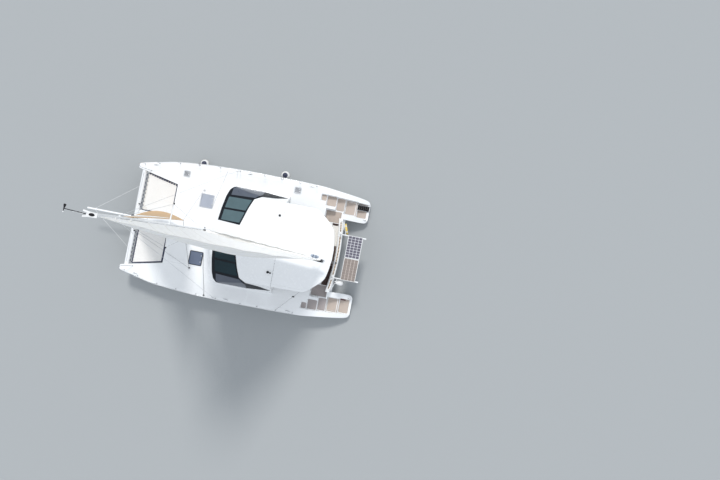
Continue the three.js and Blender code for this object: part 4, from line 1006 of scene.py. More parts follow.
def roof_ring(level, inward=0.0, aft_x=ROOF_AFT_X, floor=None):
    height, front, half, depth, squareness = (at(level) for at in ROOF_COLUMN)
    crowned = min(max(level - 3.0, 0.0), 1.0)
    front -= inward * mix(1.8, 3.0, crowned)
    half -= inward
    points = []
    for k in range(29):
        a = math.pi / 2 * k / 28
        along = front - depth * (1 - math.cos(a) ** (2 / squareness))
        points.append((along, half * math.sin(a) ** (2 / squareness)))
    points += [(x, half) for x in spread(front - depth, aft_x, 12)[1:]]
    points = [(x, -y) for x, y in reversed(points[1:])] + points

    def z(x):
        if floor is not None:
            return floor
        if level < 1:
            return mix(deck_z(x) + 0.0003, ROOF_RINGS[1][0], level)
        return height - inward * crowned
    return [(x, y, z(x)) for x, y in points]


def roof_shape(inward, aft_x=ROOF_AFT_X, floor=None):
    bits = Bits()
    rings = [] if floor is None else [roof_ring(0, inward, aft_x, floor)]
    rings += [roof_ring(7 * k / 42, inward, aft_x) for k in range(43)]
    bits.loft(rings)
    return hidden(bits, "roof_shape")


def prism(outline, z0, z1, side):
    bits = Bits()
    outline = counter_clockwise([(x, side * y) for x, y in outline])
    bits.loft([[(x, y, z0) for x, y in outline], [(x, y, z1) for x, y in outline]])
    return hidden(bits, "prism")


def window_outline():
    return counter_clockwise(WINDOW_LOWER + WINDOW_STRIP + WINDOW_UPPER)


def edge_x(edge, y):
    """Where an edge of the window band is, at a distance from the centre plane."""
    rows = sorted((row[1], row[0]) for row in edge)
    for (y0, x0), (y1, x1) in zip(rows, rows[1:]):
        if y <= y1:
            return mix(x0, x1, (y - y0) / (y1 - y0))
    return rows[-1][1]


def pane_outline(y0, y1):
    front_margin, aft_margin = 0.17, 0.075
    points = [(edge_x(WINDOW_LOWER, y) - front_margin, y) for y in spread(y0, y1, 6)]
    points += [(edge_x(WINDOW_UPPER, y) + aft_margin, y) for y in spread(y1, y0, 6)]
    return rounded(points, 0.035, 3)


def roof_layer(outward, inward, outline, name, material, slot, side, without=(), replaced=()):
    """Part of the roof's skin between two offsets, inside one plan outline and outside others."""
    skin = roof_shape(-outward)
    boolean(skin, [roof_shape(inward, ROOF_AFT_X - 0.2, ROOF_INSIDE_FOOT_Z)])
    boolean(skin, [prism(outline, WINDOW_SILL, WINDOW_HEAD, side)], "INTERSECT")
    if without:
        boolean(skin, [prism(hole, 1.0, 3.2, side) for hole in without])
    finish_piece(skin, name, material, slot, replaced)


PANES = [pane_outline(0.70, 1.255), pane_outline(1.345, 1.92)]
SIDE_PANE = [(1.02, 2.03), (0.98, 2.40), (0.70, 2.52), (-0.60, 2.52), (-0.60, 2.30), (-0.30, 2.06)]


def make_coachroof():
    shell = roof_shape(0)
    cutters = [roof_shape(ROOF_WALL, ROOF_AFT_X - 0.2, ROOF_INSIDE_FOOT_Z)]
    for side in (PORT, STARBOARD):
        cutters.append(prism(window_outline(), WINDOW_SILL, WINDOW_HEAD, side))
    boolean(shell, cutters)
    finish_piece(shell, "coachroof_shell", GELCOAT, "gelcoat_white", ["coachroof"])
    for side_name, side in SIDES:
        roof_layer(0.0, 0.014, window_outline(), f"window_glass_{side_name}", WINDOW, "window_glass", side,
                   replaced=[f"window_{side_name}"])
        roof_layer(0.006, -0.001, window_outline(), f"window_surround_{side_name}", FRAME_BLACK,
                   "black_plastic", side, without=[*PANES, SIDE_PANE])
        # Starboard panes take the lighter glass as painted light, port ones the darker glass as painted shade
        glass = PANE if side == STARBOARD else PANE_PAINTED_SHADE
        for number, pane in enumerate(PANES):
            name = f"opening_pane_{side_name}_{number}"
            roof_layer(0.009, -0.001, inset(pane, 0.004), name, glass, "window_glass", side)
        roof_layer(0.004, -0.001, SIDE_PANE, f"side_pane_{side_name}", SLATE, "window_glass", side)


VENT_Z = 2.884


def vent(bits, x, y, foot, cap):
    """A low mushroom vent; foot and cap are its radii from the roof up."""
    bits.turned(zip(foot, (0.0, 0.012, 0.02)), (x, y, VENT_Z), kind=1)
    bits.turned(zip(cap, (0.015, 0.035, 0.042, 0.056, 0.066, 0.068)), (x, y, VENT_Z))


def make_roof_vents():
    """Low vents on the roof: a small one to starboard and a wider double one to port."""
    bits = Bits()
    vent(bits, -1.70, -1.43, (0.062, 0.062, 0.05), (0.040, 0.040, 0.058, 0.055, 0.03, 0))
    for x, y, size in ((-1.65, 1.42, 0.066), (-1.77, 1.44, 0.045)):
        vent(bits, x, y, (size, size, 0.9 * size), [size * share for share in (0.7, 0.7, 0.96, 0.9, 0.5, 0)])
    bits.make("roof_vents", [BLACK, STEEL], slot="black_plastic")


# Hardtop

HARDTOP_FRONT_X, HARDTOP_AFT_X = -1.893, -4.616
# x and half width
HARDTOP = [(HARDTOP_FRONT_X, 2.105), (-2.700, 2.102), (-3.460, 2.090), (-3.804, 1.869), (-4.198, 1.524),
           (-4.444, 1.229), (-4.560, 0.787), (HARDTOP_AFT_X, 0.300)]
HARDTOP_WIDTH = smooth_through([-x for x, _ in HARDTOP], [w for _, w in HARDTOP])
HARDTOP_THICKNESS = 0.07
POST_X = -3.15


def hardtop_z(x, y):
    sag = 0.022 * ((HARDTOP_FRONT_X - x) / 2.7) ** 2
    return 2.750 - sag + 0.160 * (1 - min(1, abs(y) / 2.15) ** 2.6)


def make_hardtop():
    bits = Bits()
    edge = HARDTOP_THICKNESS / 2
    places = spread(HARDTOP_FRONT_X, -3.3, 12)[:-1] + spread(-3.3, HARDTOP_AFT_X, 34)
    rings = []
    for x in places:
        half = HARDTOP_WIDTH(-x) - edge
        ring = [(x, y, hardtop_z(x, y)) for y in (half * (1 - 2 * k / 40) for k in range(41))]
        for k in range(1, 8):
            a = math.pi / 2 + math.pi * k / 8
            ring.append((x, -half + edge * math.cos(a), hardtop_z(x, half) - edge + edge * math.sin(a)))
        ring += [(x, y, hardtop_z(x, y) - 2 * edge) for y in (-half * (1 - 2 * k / 40) for k in range(41))]
        for k in range(1, 8):
            a = -math.pi / 2 + math.pi * k / 8
            ring.append((x, half + edge * math.cos(a), hardtop_z(x, half) - edge + edge * math.sin(a)))
        rings.append(ring)
    end = rings[-1]
    rings.append([(x - 0.012, 0.96 * y, mix(z, hardtop_z(x, y) - edge, 0.3)) for x, y, z in end])
    bits.loft(rings)
    # A low moulded gutter just inside the edge
    gutter = [(x, HARDTOP_WIDTH(-x) - 0.13, 0) for x in places[1:-3]]
    gutter += [(-4.50, y, 0) for y in (0.62, 0.3, 0, -0.3, -0.62)]
    gutter += [(x, -y, z) for x, y, z in reversed(gutter[:len(places) - 4])]
    bits.tube([(x, y, hardtop_z(x, y) + 0.001) for x, y, _ in gutter], 0.012, 8)
    for side in (PORT, STARBOARD):
        y = side * 2.03
        bits.tube([(POST_X, y, deck_z(POST_X) + 0.008), (POST_X, side * 2.01, 2.715)], 0.027, 20, kind=1)
        bits.turned([(0.065, 0.0005), (0.065, 0.010), (0.036, 0.018), (0.03, 0.05)],
                    (POST_X, y, deck_z(POST_X)), kind=1)
        # Hand rails under the hardtop
        rail = [(x, side * 1.55, z) for x, z in ((-2.3, 2.655), (-2.36, 2.60), (-3.3, 2.59), (-3.36, 2.64))]
        bits.tube(curve_points(rail, 24), 0.013, 10, kind=1)
    bits.make("hardtop_moulding", [GELCOAT, STEEL], replaced=["hardtop"], angle=30)


# Bulkhead, door and cockpit

# Glazed openings of the bulkhead: low y and z, high y and z
BULKHEAD_OPENINGS = (((-1.75, 1.56), (-0.62, 2.45)), ((0.70, 1.56), (1.75, 2.45)))


def frame_bars(bits, low, high, width, x0, x1):
    """A rectangular frame in the plane across the boat."""
    (y0, z0), (y1, z1) = low, high
    for a, b, c, d in ((y0, y0 + width, z0, z1), (y1 - width, y1, z0, z1),
                       (y0 + width, y1 - width, z0, z0 + width), (y0 + width, y1 - width, z1 - width, z1)):
        bits.block((x0, a, c), (x1, b, d), 0.006)


def make_bulkhead_glass():
    bits = Bits()
    for low, high in BULKHEAD_OPENINGS:
        grown_low, grown_high = (low[0] + 0.002, low[1] + 0.002), (high[0] - 0.002, high[1] - 0.002)
        frame_bars(bits, grown_low, grown_high, 0.045, -1.883, -1.832)
        bits.block((-1.862, low[0] + 0.04, low[1] + 0.04), (-1.852, high[0] - 0.04, high[1] - 0.04), 0.001, 1)
    bits.make("bulkhead_windows", [FRAME_BLACK, WINDOW], slot="black_plastic")
    door = Bits()
    low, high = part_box("saloon_door")
    frame_bars(door, (low.y, low.z), (high.y, high.z), 0.06, low.x, high.x)
    door.block((low.x + 0.009, low.y + 0.055, low.z + 0.055),
               (high.x - 0.009, high.y - 0.055, high.z - 0.055), 0.001, 1)
    door.block((low.x + 0.001, low.y + 0.055, 1.75), (high.x - 0.001, high.y - 0.055, 1.80), 0.004)
    door.make("sliding_door", [FRAME_BLACK, WINDOW], "saloon_door", "window_glass", replaced=["saloon_door"])


# Cushions: aft x, front x, low y, high y, foot z, top z
COCKPIT_PADS = [(-3.68, -2.62, 1.27, 1.88, 1.2705, 1.345), (-2.60, -2.02, 1.27, 1.88, 1.2705, 1.345),
                (-2.49, -2.02, 0.64, 1.26, 1.2705, 1.345), (-3.12, -2.77, -1.50, -0.80, 1.5205, 1.57)]
SALOON_PADS = [(-0.58, 0.62, 1.27, 1.88, 1.2905, 1.37), (0.67, 1.23, 1.27, 1.88, 1.2905, 1.37),
               (0.67, 1.23, 0.40, 1.26, 1.2905, 1.37), (0.67, 1.23, -0.48, 0.38, 1.2905, 1.37)]
# Section of the aft bench's pads: distance forward of the beam's aft face, height
BENCH_PAD_SECTION = [(0.250, 1.277), (0.535, 1.263), (0.548, 1.29), (0.545, 1.325), (0.50, 1.350),
                     (0.29, 1.352), (0.252, 1.33)]
BENCH_PAD_MIDDLE_Z = 1.31
# Ends of the aft bench's pads, and which of its three materials each has; the brown and the near-black one
# are painted shade on the cushions
BENCH_PADS = [(-1.615, -1.52, 2), (-1.50, -0.47, 1), (-0.45, 0.53, 0), (0.55, 1.60, 2)]


def cushion(bits, x0, x1, y0, y1, z0, z1):
    """A crowned closed pad whose sides pull in a little between its corners."""
    count = 16
    rings = []
    rows = [(0.0, 0.965, 0.0), (0.16, 1.0, 0.0), (0.5, 1.004, 0.0), (0.80, 1.0, 0.0), (0.93, 0.975, 0.3),
            (0.99, 0.90, 0.75), (1.0, 0.62, 0.95), (1.0, 0.25, 1.0)]
    middle_x, middle_y = (x0 + x1) / 2, (y0 + y1) / 2
    for share, grow, crown in rows:
        ring = []
        for k in range(4 * count):
            side, t = divmod(k, count)
            t = 2 * t / count - 1
            pull = 1 - 0.018 * (1 - t * t)
            u, v = ((1, t), (-t, 1), (-1, -t), (t, -1))[side]
            u, v = (u * pull, v) if side % 2 == 0 else (u, v * pull)
            ring.append((middle_x + u * (x1 - x0) / 2 * grow, middle_y + v * (y1 - y0) / 2 * grow,
                         mix(z0, z1, share * 0.86 + 0.14 * crown)))
        rings.append(ring)
    bits.loft(rings)


def cushions(name, pads):
    bits = Bits()
    for pad in pads:
        cushion(bits, *pad)
    return bits.make(name, CUSHION, slot="upholstery", angle=50)


def make_cushions():
    obj = cushions("cockpit_cushions", COCKPIT_PADS)
    seats = Bits()
    for low, high, kind in BENCH_PADS:
        rings = []
        for y in spread(low, high, 8):
            aft = beam_aft_x(y)
            # The ends are a little thinner
            tall = 0.93 if y in (low, high) else 1.0
            rings.append([(aft + forward, y, mix(BENCH_PAD_MIDDLE_Z, z, tall))
                          for forward, z in BENCH_PAD_SECTION])
        seats.loft(rings, kind)
    # The brown and near-black cloth are painted shade on the bench cushions
    materials = [BROWN_CUSHION_PAINTED_SHADE, PALE_CUSHION, DARK_PATCH_AND_PAINTED_SHADE]
    obj = seats.make("aft_bench_cushions", materials, slot="upholstery", angle=50)
    obj = cushions("saloon_cushions", SALOON_PADS)


# Tables: name, aft x, front x, low y, high y, height
TABLES = [("cockpit", -3.50, -2.70, 0.35, 1.00, 1.555), ("saloon", -0.45, 0.45, 0.25, 1.05, 1.58)]
# Section of their raised edge: distance in from the outline, height
TABLE_RIM = [(0.002, 0.011), (0.002, 0.024), (0.008, 0.030), (0.020, 0.030), (0.026, 0.024), (0.026, 0.011)]


def make_table_tops():
    """Teak boards with a raised edge on the cockpit table and the saloon table."""
    for name, x0, x1, y0, y1, z in TABLES:
        bits = Bits()
        outline = rounded(rectangle(x0 - 0.004, x1 + 0.004, y0 - 0.004, y1 + 0.004), 0.07)
        bits.plate(outline, z + 0.0004, z + 0.012, 0.004)
        rings = [[(x, y, z + height) for x, y in inset(outline, reach)] for reach, height in TABLE_RIM]
        bits.loft(rings + [rings[0]], caps=False)
        bits.make(f"{name}_table_top", TEAK, slot="teak")


def beam_aft_x(y):
    """The aft face of the aft beam, which curves aft between the hulls."""
    return -4.755 - 0.170 * (1 - (y / INNER_WALL_Y) ** 2)


# Section of the pads on the aft beam: distance forward of its aft face, height
INLAY_SECTION = [(0.070, 1.7003), (0.070, 1.708), (0.082, 1.712), (0.120, 1.712), (0.132, 1.708),
                 (0.132, 1.7003)]


def make_beam_trim():
    """Tan pads let into the top of the aft beam, with a row of dark patches along each."""
    bits = Bits()
    for low, high, patches in ((-1.72, -1.24, 4), (-0.98, 0.98, 12), (1.24, 1.72, 4)):
        bits.loft([[(beam_aft_x(y) + forward, y, z) for forward, z in INLAY_SECTION]
                   for y in spread(low, high, 12)])
        for k in range(patches):
            y = mix(low, high, (k + 0.5) / patches)
            aft = beam_aft_x(y)
            bits.block((aft + 0.083, y - 0.030, 1.7115), (aft + 0.119, y + 0.030, 1.7150), 0.003, 1)
    bits.make("beam_top_inlay", [TAN_PAD, DARK_PATCH_AND_PAINTED_SHADE], slot="upholstery")


# Deck fittings

def step_pad(bits, x0, x1, y0, y1, z, side, radius=0.06, kind=0):
    outline = rounded(rectangle(min(x0, x1), max(x0, x1), *sorted((side * y0, side * y1))), radius)
    bits.plate(outline, z + 0.0004, z + 0.005, 0.002, kind)


def make_step_pads():
    margin = 0.028
    passage_front, passage_aft, passage_outer = PASSAGE
    for side_name, side in SIDES:
        bits = Bits()
        # The port side's upper pads take a darker copy of the step nonslip: painted shade
        upper = 1 if side == PORT else 0
        for number, (front, aft, inner, outer, z) in enumerate(STERN_STEPS):
            if number == ENGINE_STEP:
                continue
            if number == PLATFORM:
                aft = -5.90
            shade = upper if number < ENGINE_STEP else 0
            step_pad(bits, aft + margin, front - margin, inner + margin, outer - margin, z, side, kind=shade)
        # The passage from the cockpit and the sole beside the aft seat
        step_pad(bits, passage_aft + margin, passage_front - margin, INNER_WALL_Y + 0.002,
                 passage_outer - 2 * margin, SOLE_Z, side, 0.02, upper)
        step_pad(bits, passage_aft + 0.01, passage_front + 0.01, 1.66, INNER_WALL_Y - 0.002, SOLE_Z,
                 side, 0.02, upper)
        # Strips round the engine hatch, which has its own pad
        front, aft, inner, outer, z = STERN_STEPS[ENGINE_STEP]
        lid_low, lid_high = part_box(f"engine_hatch_{side_name}")
        y0, y1 = sorted((side * lid_low.y, side * lid_high.y))
        step_pad(bits, lid_high.x + 0.030, front - 0.012, inner + margin, outer - margin, z, side, 0.008)
        step_pad(bits, aft + margin, lid_low.x - 0.020, inner + margin, outer - margin, z, side, 0.02)
        step_pad(bits, lid_low.x, lid_high.x, y1 + 0.006, outer - margin, z, side, 0.01)
        if side == PORT:
            # A dark maroon strip in the corner of the platform
            step_pad(bits, -5.66, -5.38, 2.185, 2.255, STERN_STEPS[PLATFORM][4] + 0.005, side, 0.01, 2)
        bits.make(f"step_pads_{side_name}", [STEP_GRIP, STEP_GRIP_PAINTED_SHADE, MAROON], slot="gelcoat_white")
        lid = Bits()
        step_pad(lid, lid_low.x + 0.012, lid_high.x - 0.012, y0 + 0.012, y1 - 0.012, lid_high.z, side, 0.03)
        lid.make(f"engine_hatch_pad_{side_name}", STEP_GRIP, f"engine_hatch_{side_name}", "gelcoat_white")


# Front and aft ends of the nonslip areas in each side deck
GRIP_SPANS = {
    "port": [(5.35, 4.0), (3.80, 1.62), (1.48, -0.62), (-0.74, -2.60)],
    "starboard": [(5.35, 4.0), (3.25, 1.62), (1.48, -0.62), (-0.74, -1.93)],
}
# Nonslip areas of the foredeck, round the locker hatches
FOREDECK_GRIPS = [[(3.72, 0.10), (3.72, 1.80), (2.72, 1.80), (2.72, 0.10)],
                  [(2.60, 0.30), (2.60, 1.02), (1.95, 1.02), (1.95, 0.30)]]
ROOF_JOINT_X = (ROOF_AFT_X + HARDTOP_FRONT_X) / 2


def grip_inner_y(x):
    """The inboard edge of the side decks' nonslip areas."""
    if x > 3.9:
        return max(inner_y(x) + 0.10, 2.02)
    return 2.05 if x > 1.6 else 2.66


def make_deck_pads():
    """Moulded nonslip areas in the side decks and foredeck, with plain gutters between them."""
    for side_name, side in SIDES:
        outlines = []
        for front, aft in GRIP_SPANS[side_name]:
            outer = [(x, gunwale_y(x) - 0.17) for x in spread(front, aft, 10)]
            outlines.append((outer + [(x, grip_inner_y(x)) for x, _ in reversed(outer)], 0.05))
        outlines += [(outline, 0.07) for outline in FOREDECK_GRIPS]
        bits = Bits()
        for outline, radius in outlines:
            outline = rounded([(x, side * y) for x, y in outline], radius)
            bits.plate(outline, 0.0004, 0.004, 0.001, lift=deck_lift)
        bits.make(f"deck_nonslip_{side_name}", DECK_GRIP)


def make_joints():
    """Dark seams across the foredeck, and between coachroof and hardtop with a row of studs to port."""
    seams = Bits()
    for side in (PORT, STARBOARD):
        path = [(1.93, side * 1.15), (1.80, side * 1.90), (1.56, side * 2.90), (1.50, side * 3.24)]
        seams.tube([(x, y, deck_z(x) + 0.0015) for x, y in path], 0.011 if side == PORT else 0.005, 6)
        if side == PORT:
            seams.turned([(0.045, 0), (0.045, 0.02), (0.02, 0.035), (0, 0.035)],
                         (1.50, 3.27, deck_z(1.5) - 0.002))
    half = 2.06
    for low, high, thick in ((-half, 0.0, 0.002), (0.0, half, 0.004)):
        path = [(ROOF_JOINT_X, y, hardtop_z(HARDTOP_FRONT_X, y) + 0.001) for y in spread(low, high, 20)]
        seams.tube(path, thick, 6)
    for k in range(9):
        y = 0.60 + 0.17 * k
        seams.turned([(0.016, 0), (0.016, 0.006), (0.008, 0.010), (0, 0.010)],
                     (ROOF_JOINT_X, y, hardtop_z(HARDTOP_FRONT_X, y) - 0.001), sides=12)
    seams.make("deck_joint", RUBBER, slot="black_plastic")


def make_hatches():
    for side_name, side in SIDES:
        front, aft, inner, outer = FORE_HATCH
        # The starboard fore hatch's pale acrylic is painted reflection
        frame, pane = (FRAME_BLACK, HATCH_PANE) if side == PORT else (ALUMINIUM, PALE_PANE_PAINTED_REFLECTION)
        hatch(f"hatch_fore_{side_name}", front, aft, inner, outer, side, frame, pane, 0.035)
    for name, (front, aft, inner, outer, _) in SMALL_HATCHES.items():
        hatch(name, front, aft, inner, outer, STARBOARD, ALUMINIUM, SMALL_PANE, 0.045)


def hatch(name, front, aft, inner, outer, side, frame_material, pane_material, width):
    """A framed acrylic deck hatch with two small steel fittings on its aft edge."""
    bits = Bits()
    y0, y1 = sorted((side * inner, side * outer))
    outline = rounded(rectangle(aft, front, y0, y1), 0.06)
    ring_inner = inset(outline, width)
    levels = [(outline, 0.0006), (outline, 0.022), (inset(outline, 0.008), 0.029),
              (inset(outline, width - 0.004), 0.029), (ring_inner, 0.024), (ring_inner, 0.0006)]
    rings = [[(x, y, height + deck_z(x)) for x, y in shape] for shape, height in levels]
    bits.loft(rings + [rings[0]], caps=False)
    bits.plate(ring_inner, 0.008, 0.0245, 0.002, 1, lift=deck_lift)
    for share in (0.28, 0.72):
        y = mix(y0, y1, share)
        z = deck_z(aft)
        bits.block((aft + 0.05, y - 0.02, z + 0.0255), (aft + 0.11, y + 0.02, z + 0.0305), 0.004, 2)
    bits.make(f"{name}_lid", [frame_material, pane_material, STEEL], name, "hatch_glass", replaced=[name])


def cleat(bits, x, y, z, turn=0.0):
    matrix = Matrix.Translation((x, y, z)) @ Matrix.Rotation(turn, 4, "Z")
    bits.block((-0.06, -0.018, 0), (0.06, 0.018, 0.012), matrix=matrix)
    for end in (-0.035, 0.035):
        bits.block((end - 0.012, -0.012, 0.01), (end + 0.012, 0.012, 0.05), matrix=matrix)
    horn = [matrix @ Vector((along, 0, up))
            for along, up in ((-0.14, 0.062), (-0.06, 0.052), (0.06, 0.052), (0.14, 0.062))]
    bits.tube(horn, [0.007, 0.013, 0.013, 0.007], 10)


def block_on_deck(bits, x, y, z, tall=0.10, kind=0):
    """A small pulley block standing on its foot."""
    bits.turned([(0.035, 0), (0.035, 0.012), (0.015, 0.02), (0.012, 0.045)], (x, y, z), kind=kind)
    bits.turned([(0.0, -0.018), (0.045, -0.018), (0.05, -0.012), (0.05, 0.012), (0.045, 0.018), (0, 0.018)],
                (x, y, z + tall), (0, 1, 0), 20, kind)


def make_fittings():
    bits = Bits()
    for side in (PORT, STARBOARD):
        for x in (5.15, 0.35, -2.85):
            cleat(bits, x, side * (gunwale_y(x) - 0.14), deck_z(x) + 0.0003, side * -0.08)
        cleat(bits, -5.86, side * 2.10, deck_z(-5.86) - 0.885)
        sheet_block = (SHEET_BLOCK_X, side * SHEET_BLOCK_Y, deck_z(SHEET_BLOCK_X) + 0.0003)
        block_on_deck(bits, *sheet_block, kind=1 if side == PORT else 2)
        block_on_deck(bits, BEAM_BLOCK.x, side * BEAM_BLOCK.y, BEAM_BLOCK.z, 0.06, 1)
    bits.make("deck_fittings", [STEEL, BLACK, WHITE_PLASTIC], slot="steel")


def rope(name, path, material=WHITE_ROPE, radius=0.006, between=None):
    bits = Bits()
    bits.tube(path, radius, 8)
    obj = bits.make(name, material, body=None if between else BOAT, slot="netting", angle=60)
    if between:
        other, start, end = between
        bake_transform(obj)
        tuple(start)
        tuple(end)


# Rig

def along_stay(distance):
    return STAY_FOOT + (STAY_HEAD - STAY_FOOT).normalized() * distance


STAY_LENGTH = (STAY_HEAD - STAY_FOOT).length


def make_masthead(bits):
    """Forked white head fitting with a black plate on top as painted shade of its well, and a wind vane on a
    wand that leans forward.
    """
    top = MAST_TOP_Z + 0.0006
    across_boat = (0, 1, 0)
    fork = with_mirror([(-0.24, -0.070), (0.02, -0.085), (0.19, -0.112), (0.19, -0.058), (0.05, -0.030)])
    bits.plate(rounded([(MAST_X + x, y) for x, y in fork], 0.02, 3), top, top + 0.030, 0.006, 3)
    well = [(MAST_X - 0.08 + 0.088 * math.cos(a), 0.046 * math.sin(a)) for a in angles(24)]
    # A black plate on top: painted shade in the well
    bits.plate(well, top + 0.0305, top + 0.036, 0.002, 2)
    bits.disc((MAST_X + 0.13, 0, top + 0.012), across_boat, 0.035, 0.012, 16, 2)
    foot = Vector((MAST_X + 0.12, 0, MAST_TOP_Z + 0.05))
    tip = Vector((2.54, -0.035, MAST_TOP_Z + 0.24))
    bits.tube([foot, tip], 0.012, 8, 2)
    across = Vector((0.10, 0.99, 0)).normalized()
    fin = with_mirror([(-0.135, -0.034), (-0.10, -0.040), (0.0, -0.012), (0.075, -0.010)])
    forward = Vector((across.y, -across.x, 0))
    bits.loft([[tip + across * reach + forward * wide + Vector((0, 0, z)) for reach, wide in fin]
               for z in (0.002, 0.010)], 2)
    bits.turned([(0, -0.018), (0.018, -0.008), (0.018, 0.008), (0, 0.018)], tip + across * 0.09, kind=3)
    bits.turned([(0.016, -0.012), (0.016, 0.020), (0, 0.024)], tip, kind=2)


def make_mast_gear():
    bits = Bits()
    # Sail track on the aft face, and the collar at the foot
    bits.block((MAST_X - 0.146, -0.016, 1.75), (MAST_X - 0.128, 0.016, 15.2), 0.003, 1)
    foot = deck_z(MAST_X)
    bits.loft([[(MAST_X + 0.152 * grow * math.cos(a), 0.092 * grow * math.sin(a), foot + up)
                for a in angles(32)]
               for grow, up in ((1.18, 0.018), (1.12, 0.05), (1.0, 0.12), (0.99, 0.14))], 1)
    for side in (PORT, STARBOARD):
        # Halyard clutches and a winch
        y = side * 0.082
        bits.block((MAST_X - 0.05, y - 0.02, foot + 1.15), (MAST_X + 0.07, y + 0.02, foot + 1.30), 0.01, 3)
        bits.turned([(0.05, 0), (0.05, 0.01), (0.035, 0.03), (0.04, 0.08), (0.045, 0.09), (0, 0.095)],
                    (MAST_X + 0.02, y, foot + 0.85), (0, side, 0), kind=1)
        # Diamond wires: from the spreader tip up and down to the mast
        tip = (MAST_X - 0.058, side * 0.885, SPREADER_Z)
        wire = [(MAST_X - 0.02, side * 0.072, 14.75), tip, (MAST_X - 0.01, side * 0.083, 3.25)]
        bits.tube(wire, 0.0055, 8, 1)
        y = side * 0.905
        bits.block((MAST_X - 0.09, y - 0.03, SPREADER_Z - 0.03), (MAST_X - 0.03, y + 0.03, SPREADER_Z + 0.03),
                   0.012, 2)
    make_masthead(bits)
    bits.make("mast_gear", [SPAR, STEEL, BLACK, WHITE_PLASTIC], slot="spar_white")
    wires = Bits()
    for side in (PORT, STARBOARD):
        outer_end = (BEAM_X, side * 2.30, BEAM_Z + BEAM_RADIUS + 0.004)
        wires.tube([(BEAM_X, side * 0.062, 1.775), outer_end], 0.006, 8)
    wires.make("beam_wires", STEEL, slot="steel")


def on_boom(x, y, z):
    """A point given from the gooseneck pin with the boom amidships, moved to where the boom lies."""
    c, s = math.cos(-SHEET_ANGLE), math.sin(-SHEET_ANGLE)
    return Vector((BOOM_AXIS.x + c * x - s * y, s * x + c * y, z))


BOOM_RISE = 0.02
BOOM_HALF_HEIGHT, BOOM_HALF_WIDTH = 0.110, 0.075


def boom_z(x):
    return BOOM_AXIS.z - BOOM_RISE * x


def round_boom(x, turns, wide, tall):
    """Points round the boom at x, on its section made wider and taller by two shares."""
    return [on_boom(x, BOOM_HALF_WIDTH * wide * math.cos(a),
                    boom_z(x) + BOOM_HALF_HEIGHT * tall * math.sin(a)) for a in turns]


def make_boom():
    bits = Bits()

    def casing(sections, kind=0):
        bits.loft([round_boom(x, angles(28), grow, grow) for x, grow in sections], kind)
    casing([(-0.072, 0.78), (-0.10, 0.9), (-0.20, 0.99), (-3.0, 1.0), (-5.80, 1.0), (-5.86, 0.99)])
    # Black end castings with their sheaves
    casing([(-5.86, 1.012), (-5.87, 1.02), (-5.95, 1.0), (-5.998, 0.82)], 1)
    casing([(-0.07, 0.80), (-0.075, 0.93), (-0.16, 1.015), (-0.20, 1.012)], 1)
    axis = on_boom(0, 1, 0) - on_boom(0, 0, 0)
    for y in (-0.03, 0.03):
        bits.disc(on_boom(-5.955, y, boom_z(-5.955) + 0.085), axis, 0.04, 0.012, 20, 2)
    # Gooseneck tongue
    bits.bush(BOOM_AXIS, (0, 0, 1), 0.0125, 0.029, 0.030, 2)
    turn = Matrix.Translation((BOOM_AXIS.x, 0, 0)) @ Matrix.Rotation(-SHEET_ANGLE, 4, "Z")
    bits.block((-0.12, -0.024, BOOM_AXIS.z - 0.030), (-0.022, 0.024, BOOM_AXIS.z + 0.030), 0.004, 2, turn)
    # Bails for the sheet
    for x in (-5.62, -5.30):
        path = [on_boom(x, 0.05 * math.cos(a), boom_z(x) - 0.085 - 0.06 * math.sin(a))
                for a in spread(0, math.pi, 10)]
        bits.tube(path, 0.007, 8, 2)
    # A black sheet on the port side of the bag's aft end: painted shade inside the open bag
    rings = []
    for k in range(13):
        x = mix(-5.10, -5.94, k / 12)
        wide = mix(12, 92, min(1.0, k / 5))
        turns = [math.radians(degrees) for degrees in spread(100 - wide, 100, 8)]
        rings.append(round_boom(x, turns, 1.09, 1.07) + round_boom(x, turns, 1.01, 1.01)[::-1])
    bits.loft(rings, 1)
    bits.make("boom_spar", [SPAR, BLACK, STEEL], "boom", "spar_white", replaced=["boom"])


def make_reef_bundle():
    """Reefed cloth tied up beside the boom's end."""
    bundle = Bits()
    path, radii = [], []
    for share in spread(0, 1, 14):
        path.append(on_boom(mix(-5.34, -5.74, share), -0.125 - 0.012 * math.sin(9 * share),
                            boom_z(-5.5) + 0.045))
        radii.append(0.018 + 0.062 * math.sin(math.pi * share) ** 0.5)
    bundle.tube(path, radii, 16)
    for k in (4, 9):
        bundle.tube(path[k:k + 2], 0.083, 16, 1)
    bundle.make("reef_bundle", [BUNDLE_CLOTH, NAVY_ROPE], "boom", "sailcloth", angle=60)


